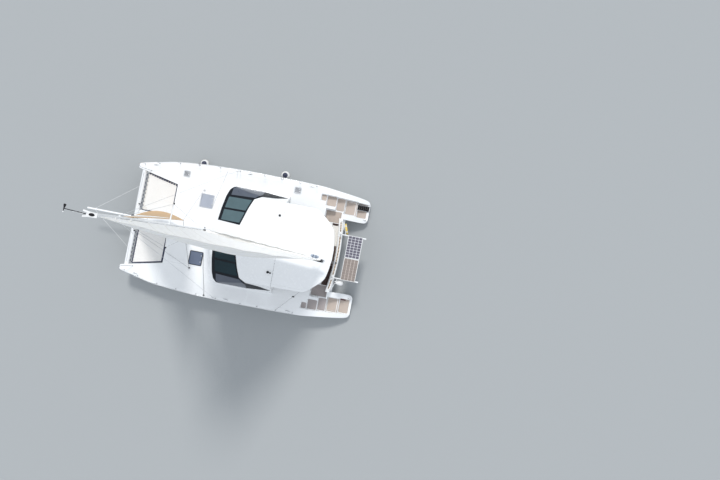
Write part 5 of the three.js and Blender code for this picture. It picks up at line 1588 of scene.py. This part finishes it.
class Grid:
    """A thin cloth from a function of two shares, with its own UV in metres."""

    def __init__(self, at, rows, columns, thickness, uv=None, kind=None):
        self.bits = Bits()
        points = [[Vector(at(i / rows, j / columns)) for j in range(columns + 1)] for i in range(rows + 1)]
        uv = uv or (lambda up, t: (t, up))

        def normal(i, j):
            a = points[min(i + 1, rows)][j] - points[max(i - 1, 0)][j]
            b = points[i][min(j + 1, columns)] - points[i][max(j - 1, 0)]
            n = a.cross(b)
            return n.normalized() if n.length > 1e-12 else Vector((0, 1, 0))
        places, coordinates = [], []
        for offset in (thickness / 2, -thickness / 2):
            for i in range(rows + 1):
                for j in range(columns + 1):
                    places.append(points[i][j] + normal(i, j) * offset)
                    coordinates.append(uv(i / rows, j / columns))
        wide = columns + 1
        back = (rows + 1) * wide
        faces, kinds = [], []
        for i in range(rows):
            for j in range(columns):
                a = i * wide + j
                chosen = kind((i + 0.5) / rows, (j + 0.5) / columns) if kind else (0, 0)
                faces.append((a, a + 1, a + wide + 1, a + wide))
                faces.append((back + a + wide, back + a + wide + 1, back + a + 1, back + a))
                kinds += list(chosen)
        border = list(range(columns)) + [i * wide + columns for i in range(rows)]
        border += [rows * wide + columns - j for j in range(columns)]
        border += [(rows - i) * wide for i in range(rows)]
        for a, b in zip(border, border[1:] + border[:1]):
            faces.append((b, a, back + a, back + b))
            kinds.append(0)
        self.bits.add(places, faces)
        self.bits.kinds = kinds
        self.coordinates = coordinates

    def make(self, name, materials, body, slot, replaced=()):
        obj = self.bits.make(name, materials, body, slot, 60, replaced)
        layer = obj.data.uv_layers.new(name="UVMap")
        for loop in obj.data.loops:
            layer.data[loop.index].uv = self.coordinates[loop.vertex_index]
        return obj


MAIN_FOOT = BOOM_LENGTH - 0.19
MAIN_TACK_Z = BOOM_AXIS.z + BOOM_HALF_HEIGHT + 0.0003
MAIN_HEAD_Z = MAST_TOP_Z - 0.26


def main_chord(up):
    return MAIN_FOOT * (1 - up) + 1.5 * up * (1 - up) + 0.17 * up


def main_at(up, t):
    chord = main_chord(up)
    camber = 0.115 * chord * math.sin(math.pi * min(1, up * 3.2) / 2)
    belly = camber * 4 * t * (1 - t) * (1.25 - 0.5 * t)
    x = -0.012 - chord * t
    # The leech flutters a little between the battens
    flutter = 0.012 * math.sin(up * 40) * t ** 6 * math.sin(math.pi * min(1, up * 8) / 2)
    z = mix(MAIN_TACK_Z, MAIN_HEAD_Z, up) - (1 - up) * BOOM_RISE * x
    return on_boom(x, belly + chord * t * 0.10 * up + flutter, z)


# Battens: share of the sail's height, how far they droop towards the leech
BATTENS = [(0.16, 0.05), (0.32, 0.05), (0.48, 0.045), (0.64, 0.04), (0.79, 0.03), (0.90, 0.02)]
# Section of a batten pocket: distance out from the cloth, height on it
POCKET_SECTION = [(0.0012, 0.035), (0.008, 0.022), (0.008, -0.022), (0.0012, -0.035)]


def make_battens():
    battens = Bits()
    for up, drop in BATTENS:
        for side in (1, -1):
            rings = []
            for t in spread(0.01, 0.992, 24):
                share = up + drop * (t - 0.5) * -0.6
                here = main_at(share, t)
                upward = main_at(share + 0.002, t) - here
                across = main_at(share, min(t + 0.01, 1)) - main_at(share, max(t - 0.01, 0))
                normal = upward.cross(across).normalized() * side
                upward = upward.normalized()
                rings.append([here + normal * out + upward * high for out, high in POCKET_SECTION])
            battens.loft(rings)
        # Batten cars on the mast track
        car = main_at(up, 0.004)
        battens.block(car + Vector((-0.03, -0.028, -0.05)), car + Vector((0.014, 0.028, 0.05)), 0.006, 1)
    battens.make("batten_pockets", [BATTEN_CLOTH, WHITE_PLASTIC], "boom", "sailcloth", angle=50)


def make_mainsail():
    height = MAIN_HEAD_Z - MAIN_TACK_Z
    grid = Grid(main_at, 72, 40, 0.004, uv=lambda up, t: (main_chord(up) * t, up * height))
    sail = grid.make("mainsail_cloth", [SAIL], "boom", "sailcloth", replaced=["mainsail"])
    make_battens()
    trim = Bits()
    # Leech and foot hems
    trim.tube([main_at(up, 1.0) for up in spread(0, 1, 60)], 0.009, 6)
    trim.tube([main_at(0.0, t) for t in spread(0, 1, 30)], 0.011, 6)
    # Head board, clew ring and reef eyes
    head = main_at(0.995, 0.5)
    trim.block(head + Vector((-0.10, -0.010, -0.16)), head + Vector((0.10, 0.010, 0.03)), 0.006, 1)
    trim.tube(upright_ring(main_at(0.012, 0.985), 0.035, 16), 0.008, 8, 1, loop=True)
    for up in (0.16, 0.32):
        for t in (0.02, 0.97):
            trim.tube(upright_ring(main_at(up - 0.012, t), 0.028, 12), 0.007, 6, 1, loop=True)
    pieces = trim.make("mainsail_trim", [BATTEN_CLOTH, ALUMINIUM], "boom", "sailcloth", angle=60)


BAG_FRONT, BAG_AFT = -0.42, -5.10


def make_lazy_bag():
    """The open sail bag along the boom: two flaps of cloth, each with a hem."""
    for side_name, side in SIDES:
        def at(up, t, side=side):
            x = mix(BAG_FRONT, BAG_AFT, t)
            swell = math.sin(math.pi * min(1, t * 4) / 2) * mix(1.0, 0.2, t)
            tall = 0.30 * swell + 0.05
            slack = 0.012 * math.sin(t * 47) * up
            y = side * (BOOM_HALF_WIDTH + 0.004 + 0.045 * math.sin(up * math.pi / 2) * swell + slack)
            z = boom_z(x) + 0.02 + tall * up - 0.035 * up * math.sin(math.pi * ((t * 5) % 1))
            return on_boom(x, y, z)
        grid = Grid(at, 10, 60, 0.004, uv=lambda up, t: (4.7 * t, 0.35 * up))
        flap = grid.make(f"sail_bag_{side_name}", [BAG_CLOTH], "boom", "sailcloth")
        hem = Bits()
        hem.tube([at(1.0, t) for t in spread(0, 1, 60)], 0.012, 8)
        hem.make(f"sail_bag_hem_{side_name}", BAG_CLOTH, "boom", "sailcloth", angle=60)


JIB_CLEW = Vector((2.972, -0.285, 2.500))
JIB_FOOT, JIB_LUFF, JIB_AREA = 3.1, 12.8, 19.5


def jib_at(up, t):
    start, end = 0.33, STAY_LENGTH - 0.48
    luff = along_stay(mix(start, end, up))
    head = along_stay(end)
    leech = Vector((mix(JIB_CLEW.x, head.x - 0.07, up) + 0.09 * math.sin(math.pi * up),
                    mix(JIB_CLEW.y, 0, up) - 0.03 * math.sin(math.pi * up), mix(JIB_CLEW.z, head.z, up)))
    chord = math.hypot(luff.x - leech.x, luff.y - leech.y)
    belly = chord * (0.058 + 0.082 * (1 - up) ** 9) * 4 * t * (1 - t) * (1.2 - 0.4 * t)
    sag = (1 - up) ** 6 * 0.15 * math.sin(math.pi * t)
    return Vector((mix(luff.x - 0.0183, leech.x, t), mix(luff.y, leech.y, t) - belly,
                   mix(luff.z, leech.z, t) - sag))


def make_jib():
    def uv(up, t):
        return ((1 - up) * JIB_FOOT * t, up * JIB_LUFF + (1 - up) * 0.6 * t)

    def kind(up, t):
        """The tan strip along foot and leech shows on the port face only."""
        foot = up * JIB_LUFF < 0.45 + 4.4 * math.sin(math.pi * t) ** 1.1
        leech = (1 - t) * (1 - up) * JIB_FOOT < 0.30
        return (1 if foot or leech else 0, 0)
    grid = Grid(jib_at, 120, 44, 0.004, uv=uv, kind=kind)
    sail = grid.make("jib_cloth", [SAIL, UV_STRIP], "jib", "sailcloth", replaced=["jib"])
    trim = Bits()
    trim.tube([jib_at(up, 1.0) for up in spread(0, 1, 60)], 0.008, 6)
    trim.tube([jib_at(0.0, t) for t in spread(0, 1, 30)], 0.009, 6)
    trim.tube(upright_ring(jib_at(0.004, 0.985), 0.03, 16), 0.008, 8, 1, loop=True)
    pieces = trim.make("jib_trim", [UV_STRIP, STEEL], "jib", "sailcloth", angle=60)


def make_furler():
    bits = Bits()
    axis = (STAY_HEAD - STAY_FOOT).normalized()
    bits.turned([(0.018, 0.0), (0.018, STAY_LENGTH)], STAY_FOOT, axis, 16)
    drum = [(0.03, 0.05), (0.06, 0.055), (0.094, 0.06), (0.0945, 0.070), (0.06, 0.075), (0.055, 0.172),
            (0.06, 0.177), (0.0945, 0.180), (0.094, 0.190), (0.035, 0.197), (0.03, 0.32), (0.018, 0.33)]
    bits.turned(drum, STAY_FOOT, axis, 32, 1)
    # The furling line wound on the drum
    wound = [(0.055, 0.078), (0.074, 0.080), (0.077, 0.086), (0.074, 0.092), (0.055, 0.094)]
    for k in range(6):
        bits.turned([(radius, height + 0.016 * k) for radius, height in wound], STAY_FOOT, axis, 32, 2)
    # The swivel below the stay's head
    swivel = [(0.018, 0.43), (0.032, 0.42), (0.034, 0.38), (0.026, 0.37), (0.034, 0.36), (0.032, 0.32),
              (0.018, 0.31)]
    bits.turned([(radius, STAY_LENGTH - below) for radius, below in swivel], STAY_FOOT, axis, 24, 1)
    bits.make("furler_gear", [SPAR, BLACK, GREY_ROPE], "jib", "spar_white", replaced=["furler"])


def make_ropes():
    # Mainsheet: falls from the boom end to the aft beam
    for number, (x, apart) in enumerate(((-5.62, 0.05), (-5.62, -0.05), (-5.30, 0.0))):
        top = on_boom(x, apart * 0.4, boom_z(x) - 0.15)
        foot = Vector((beam_aft_x(MAINSHEET_FOOT_Y) + 0.10, MAINSHEET_FOOT_Y + apart, 1.76))
        rope(f"mainsheet_{number}", spread(top, foot, 24), radius=0.007, between=("boom", foot, top))
    bits = Bits()
    block_on_deck(bits, beam_aft_x(MAINSHEET_FOOT_Y) + 0.10, MAINSHEET_FOOT_Y, 1.7122, 0.06)
    bits.make("mainsheet_foot_block", BLACK, slot="black_plastic")
    # Jib sheets: from the clew to a block on each foredeck
    deck_block = Vector((SHEET_BLOCK_X, SHEET_BLOCK_Y, deck_z(SHEET_BLOCK_X) + 0.10))
    clew = jib_at(0.004, 0.985)
    for side_name, side in SIDES:
        start = Vector((deck_block.x, side * deck_block.y, deck_block.z))
        material, radius = (GREY_ROPE, 0.011) if side == PORT else (WHITE_ROPE, 0.007)
        rope(f"jib_sheet_{side_name}", spread(start, clew, 24), material, radius,
             between=("jib", start, clew))
    drum = along_stay(0.12) + Vector((0, 0.086, 0))
    rope("furling_line", [drum, BEAM_BLOCK + Vector((0, 0, 0.06)), deck_block], GREY_ROPE, 0.006)
    # A line from the hardtop's corner to the port gunwale
    corner = Vector((-3.42, 2.02, hardtop_z(-3.42, 2.02) - 0.07))
    rail = Vector((-2.24, gunwale_y(-2.24) - 0.10, deck_z(-2.24) + 0.10))
    rope("quarter_line", [corner, rail], GREY_ROPE, 0.007)
    block = Bits()
    middle = mix(corner, rail, 0.3)
    block.block(middle - Vector((0.06, 0.03, 0.03)), middle + Vector((0.06, 0.03, 0.03)), 0.015)
    block.make("quarter_block", BLACK, slot="black_plastic")


def tape(bits, path, inward, width, kind=0):
    """A flat tape on a net's edge with a rope in its fold; width is how far it reaches inward."""
    lift = Vector((0, 0, 0.0045))
    section = [(-0.012, 1), (-0.010, 3.4), (0.010, 3.4), (0.018, 1.6), (0.018 + width, 1.6),
               (0.020 + width, 1)]
    bits.loft([[p + inward * reach + lift * high for reach, high in section] for p in path], kind)


def lace_to_beam(bits, side, beam_face, front, inner, outer):
    """Zigzag lacing from the net to the cross beam, with a saddle at each turn on the beam."""
    zigzag = []
    for k, y in enumerate(spread(inner + 0.02, outer - 0.02, 18)):
        y *= side
        if k % 2:
            zigzag.append((beam_face + 0.002, y, 1.420))
            bits.block((beam_face - 0.036, y - 0.034, 1.406), (beam_face + 0.010, y + 0.034, 1.438), 0.010)
        else:
            zigzag.append((front - 0.02, y, 1.414))
    bits.tube(zigzag, 0.016, 6)


def add_toggles(bits, at, front):
    """Toggles along the starboard hull, and the fitting and patch at the net's corners."""
    for k in range(12):
        up = (k + 0.5) / 12
        big = mix(0.70, 1.0, math.sin(math.pi * up))
        spot = at(up, 1.0) + Vector((0, 0.020, 0.016))
        reach = Vector((0.052, 0.048, 0.022)) * big
        turn = Matrix.Translation(spot) @ Matrix.Rotation(-0.22, 4, "Z")
        bits.block(-reach, reach, 0.014, 0, turn)
    corner = at(0.0, 1.0) + Vector((0.02, 0.02, 0.018))
    bits.turned([(0, -0.02), (0.05, -0.018), (0.055, 0.01), (0.03, 0.024), (0, 0.026)], corner)
    patch = [(front - 0.02, -0.45), (front - 0.20, -0.45), (front - 0.22, -0.60), (front - 0.02, -0.66)]
    bits.plate(rounded(patch, 0.03), 1.408, 1.412, 0.001, 1)


def make_trampolines():
    beam_face = BEAM_X - BEAM_RADIUS
    front, aft, inner = beam_face - 0.12, BRIDGE_FRONT_X + 0.028, 0.432
    for side_name, side in SIDES:
        def outer(x):
            return inner_y(x) - 0.045

        def at(up, t, side=side):
            x = mix(aft, front, up)
            y = mix(inner, outer(x), t)
            sag = 0.030 * math.sin(math.pi * up) * math.sin(math.pi * t)
            scallop = 0.010 * math.sin(t * 80) * (1 - min(1, (1 - up) * 12))
            return Vector((x + scallop, side * y, 1.404 - sag))
        grid = Grid(at, 34, 34, 0.006)
        net = grid.make(f"netting_{side_name}", NETTING, BOAT, "netting",
                        replaced=[f"trampoline_{side_name}"])
        # Edge ropes and the tapes that they run in: the deck's, the hull's, the catwalk's and the beam's edge
        hem = Bits()
        starboard = side == STARBOARD
        along, across = spread(0, 1, 20), spread(0, 1, 60)
        tape(hem, [at(0.0, t) for t in along], Vector((1, 0, 0)), 0.030 if starboard else 0.075)
        tape(hem, [at(up, 1.0) for up in along], Vector((0, -side, 0)), 0.024, 1 if starboard else 0)
        tape(hem, [at(up, 0.0) for up in along], Vector((0, side, 0)), 0.008 if starboard else 0.020)
        tape(hem, [at(1.0, t) for t in across], Vector((-1, 0, 0)), 0.020, 1 if starboard else 0)
        lace_to_beam(hem, side, beam_face, front, inner, outer(front))
        if starboard:
            add_toggles(hem, at, front)
        # Small toggles along the deck's edge
        count = 14
        for k in range(count):
            spot = at(0.0, (k + 0.5) / count) + Vector((-0.012, 0, 0.010))
            hem.block(spot - Vector((0.014, 0.022, 0.010)), spot + Vector((0.014, 0.022, 0.010)), 0.006)
        pieces = hem.make(f"net_lacing_{side_name}", [NAVY_ROPE, HEM_CLOTH], slot="black_plastic", angle=50)


# Stern gear

# Solar panels: side, low y, high y, cells, what shows between them, slot, gaps along and across
PANELS = [("starboard", -1.135, -0.008, CELLS_PURPLE, BACKSHEET, "solar_purple", 0.020, 0.018),
          ("port", 0.008, 1.135, CELLS_BROWN, BACKSHEET_TAN, "solar_brown", 0.024, 0.004)]
PANEL_FRONT_X, PANEL_AFT_X, PANEL_RIM = -5.195, -5.945, 0.022


def make_solar_cells():
    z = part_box("solar_panel_port")[1].z
    front, aft, rim = PANEL_FRONT_X, PANEL_AFT_X, PANEL_RIM
    columns, rows = 4, 8
    for name, y0, y1, cells, gap, slot, gap_x, gap_y in PANELS:
        bits = Bits()
        bits.plate(rectangle(aft, front, y0, y1), z + 0.0004, z + 0.003, 0.001)
        for x0, x1, low_y, high_y in ((aft, front, y0, y0 + rim), (aft, front, y1 - rim, y1),
                                      (aft, aft + rim, y0 + rim, y1 - rim),
                                      (front - rim, front, y0 + rim, y1 - rim)):
            bits.block((x0, low_y, z + 0.0005), (x1, high_y, z + 0.008), 0.002, 1)
        step_x, step_y = (front - aft - 2 * rim) / columns, (y1 - y0 - 2 * rim) / rows
        for i in range(columns):
            for j in range(rows):
                x, y = aft + rim + i * step_x, y0 + rim + j * step_y
                cell = rectangle(x + gap_x / 2, x + step_x - gap_x / 2, y + gap_y / 2, y + step_y - gap_y / 2)
                bits.plate(rounded(cell, 0.016, 2), z + 0.003, z + 0.0042, 0.0006, 2)
        bits.make(f"solar_cells_{name}", [gap, WHITE_PLASTIC, cells], slot=slot)


def make_lifebuoy():
    """A padded horseshoe, open end down, hung against the starboard quarter rail."""
    low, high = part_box("lifebuoy")
    inner, outer = Vector((-5.06, -1.105, QUARTER_RAIL_Z)), Vector((-4.85, -1.68, QUARTER_RAIL_Z))
    run = (outer - inner).normalized()
    away = Vector((run.y, -run.x, 0))
    centre = (inner + outer) / 2 + away * 0.074
    centre.z = QUARTER_RAIL_Z - 0.25
    if not low.x < centre.x < high.x:
        centre = (inner + outer) / 2 - away * 0.074
        centre.z = QUARTER_RAIL_Z - 0.25
    bits = Bits()
    path, radii = [], []
    steps = 44
    for k in range(steps + 1):
        a = math.pi * mix(-0.28, 1.28, k / steps)
        path.append(centre + run * (0.235 * math.cos(a)) + Vector((0, 0, 0.250 * math.sin(a))))
        end = min(k, steps - k)
        radii.append(0.052 * math.sin(math.pi / 2 * min(1, (end + 0.6) / 3)) ** 0.6)
    bits.tube(path, radii, 18)
    for k in (6, 17, 27, 38):
        bits.tube(path[k - 1:k + 2], 0.0545, 18, 1)
    for k in (11, 33):
        bits.tube(path[k:k + 2], 0.0535, 18, 2)
    ring = bits.make("horseshoe", [YELLOW, REFLECTIVE, NAVY_VINYL], slot="yellow_plastic", angle=60,
                     replaced=["lifebuoy"])


def make_outboard():
    """An outboard engine clamped to the quarter rail; its shape is given from the middle of its cowl."""
    x, y, z = -5.20, 1.32, 1.96
    hub_z = z - 0.69
    bits = Bits()
    rings = []
    for grow, height in ((0.0, -0.155), (0.62, -0.150), (0.9, -0.12), (1.0, -0.05), (1.0, 0.03), (0.94, 0.09),
                         (0.78, 0.13), (0.45, 0.152), (0.0, 0.158)):
        ring = []
        for a in angles(32):
            c, s = math.cos(a), math.sin(a)
            reach = 0.178 * grow * math.copysign(abs(c) ** 0.8, c)
            wide = 0.122 * grow * math.copysign(abs(s) ** 0.8, s)
            ring.append((x + reach - 0.02 * height, y + wide, z + height))
        rings.append(ring)
    bits.loft(rings)
    # A dark band round the cowl
    bits.loft([[(px, py, z - below) for px, py, _ in rings[3]] for below in (0.062, 0.048)], 1)
    # Leg, splash plate and gear case
    bits.block((x - 0.03, y - 0.042, z - 0.72), (x + 0.05, y + 0.042, z - 0.12), 0.03, 2)
    bits.block((x - 0.09, y - 0.05, z - 0.56), (x + 0.07, y + 0.05, z - 0.545), 0.004, 2)
    bits.turned([(0.0, -0.15), (0.03, -0.14), (0.045, -0.05), (0.042, 0.08), (0.02, 0.14), (0, 0.145)],
                (x, y, hub_z), (1, 0, 0), 20, 2)
    for a in angles(3):
        c, s = math.cos(a), math.sin(a)
        blade = [(x - 0.155, y + 0.03 * c, hub_z + 0.03 * s),
                 (x - 0.165, y + 0.09 * c - 0.03 * s, hub_z + 0.09 * s + 0.03 * c),
                 (x - 0.145, y + 0.09 * c + 0.03 * s, hub_z + 0.09 * s - 0.03 * c)]
        bits.loft([blade, [(px - 0.006, py, pz) for px, py, pz in blade]], 1)
    # Clamp and tiller
    clamp_z = QUARTER_RAIL_Z + 0.0135
    bits.block((x + 0.06, y - 0.058, clamp_z), (x + 0.258, y + 0.058, clamp_z + 0.026), 0.006)
    bits.block((x + 0.045, y - 0.055, z + 0.07), (x + 0.11, y + 0.055, clamp_z + 0.025), 0.012)
    bits.tube([(x + 0.09, y, z + 0.13), (x + 0.26, y + 0.02, z + 0.20)], [0.012, 0.018], 12, 1)
    bits.make("outboard_motor", [WHITE_PLASTIC, BLACK, GREY_PAINT], slot="white_plastic", angle=40,
              replaced=["outboard"])


def make_ladder():
    """A black boarding ladder with wide treads, folded forward so that it rests on the edge of a step."""
    x, z, inner, outer, rail, length = -6.032, 0.362, 2.565, 2.835, 0.013, 0.720
    step_x, step_z = -5.36, 0.58
    run, rise = step_x - x, step_z - z
    lean = math.atan2(rise, run) + math.asin((rail + 0.001) / math.hypot(run, rise))
    along = Vector((math.cos(lean), 0, math.sin(lean)))
    matrix = Matrix.Translation((x, 0, z)) @ Matrix.Rotation(-lean, 4, "Y")
    bits = Bits()
    for y in (-inner, -outer):
        bits.tube([Vector((x, y, z)) + along * (length * k / 12) for k in range(13)], rail, 14)
        bits.bush((x, y, z), (0, 1, 0), 0.0088, 0.020, 0.013)
    for reach in spread(0.12, 0.665, 5):
        bits.block((reach - 0.048, -outer, -0.008), (reach + 0.048, -inner, 0.012), 0.006, 1, matrix)
        for rib in (-0.03, -0.01, 0.01, 0.03):
            middle = reach + rib
            bits.block((middle - 0.004, -outer + 0.02, 0.011), (middle + 0.004, -inner - 0.02, 0.0145),
                       0.001, 1, matrix)
    bits.make("boarding_ladder", [STEEL, BLACK], "swim_ladder", "black_plastic", replaced=["swim_ladder"])


def make_fenders():
    """White ball fenders with navy ends, hung in the flare of the starboard topsides."""
    radius = 0.225
    for name, x, z, out in (("fender_forward", 3.00, 0.400, 3.424), ("fender_aft", -1.338, 0.750, 3.597)):
        side_y, y, deck = gunwale_y(x), -out, deck_z(x)
        centre = (x, y, z)
        bits = Bits()
        ball = [(radius * math.sin(a), -radius * math.cos(a)) for a in spread(0, math.pi, 24)]
        bits.turned(ball, centre, sides=36)
        # Navy ends, the upper one with its rope eye, and a brown band round the middle as painted shade at
        # the ball's rim
        cap = [(radius * math.sin(a) + 0.003, radius * math.cos(a) + 0.002) for a in spread(0.62, 0.22, 4)]
        bits.turned([(0.118, 0.180)] + cap + [(0.040, 0.236), (0.034, 0.272), (0.02, 0.278), (0, 0.278)],
                    centre, sides=24, kind=1)
        bits.turned([(0.06, -0.210), (0.05, -0.226), (0, -0.230)], centre, sides=24, kind=1)
        band = [(0.218, -0.040), (0.2265, -0.036), (0.2285, 0.0), (0.2265, 0.036), (0.218, 0.040)]
        bits.turned(band, centre, sides=36, kind=3)
        led = [(y, z + 0.262), (-(side_y + 0.030), deck - 0.06), (-(side_y + 0.022), deck - 0.005),
               (-(side_y - 0.02), deck + 0.024), (-(side_y - 0.14), deck + 0.0085)]
        bits.tube(curve_points([(x, *point) for point in led], 30), 0.008, 8, 2)
        bits.make(f"{name}_ball", [VINYL, NAVY_VINYL, NAVY_ROPE, FENDER_BAND_PAINTED_SHADE], slot="white_plastic",
                  replaced=[name], angle=40)


for side_name, side in SIDES:
    make_hull(side_name, side)
make_portlights()
make_coachroof()
make_roof_vents()
make_hardtop()
make_bulkhead_glass()
make_cushions()
make_table_tops()
make_beam_trim()
make_step_pads()
make_deck_pads()
make_joints()
make_hatches()
make_fittings()
make_mast_gear()
make_boom()
make_reef_bundle()
make_mainsail()
make_lazy_bag()
make_jib()
make_furler()
make_trampolines()
make_solar_cells()
make_lifebuoy()
make_outboard()
make_ladder()
make_fenders()
make_ropes()

# Material and rounding of the solids that show; any other one is plain gelcoat with its own edges
DRESSING = {
    "keel": (ANTIFOUL, 0), "rudder": (ANTIFOUL, 0), "engine": (ENGINE, 0.02), "saildrive": (ANTIFOUL, 0),
    "propeller": (BRONZE, 0), "bowsprit_stay": (WHITE_PLASTIC, 0), "davit": (SPAR, 0), "shroud": (WIRE, 0),
    "lifelines": (STEEL, 0), "engine_hatch": (GELCOAT, 0.006), "solar_panel": (ALUMINIUM, 0.002),
    "bridgedeck": (GELCOAT, 0.008), "catwalk": (GELCOAT, 0.008), "crossbeam": (SPAR, 0),
    "bowsprit": (SPAR, 0),
    # The aft bench's brighter gelcoat is painted light
    "aft_bench": (GELCOAT_PAINTED_LIGHT, 0.008), "cockpit_bench": (GELCOAT, 0.015), "helm_console": (GELCOAT, 0.012),
    "helm_wheel": (STEEL, 0), "helm_seat": (GELCOAT, 0.012), "saloon_settee": (GELCOAT, 0.012),
    "galley": (WHITE_PLASTIC, 0.012), "panel_frame": (SPAR, 0), "mast": (SPAR, 0),
}
for name, node in nodes.items():
    if not node.hide_render:
        base = name.removesuffix("_port").removesuffix("_starboard")
        material, edge = DRESSING.get(name, DRESSING.get(base, (GELCOAT, 0)))
        dress(name, material, edge)
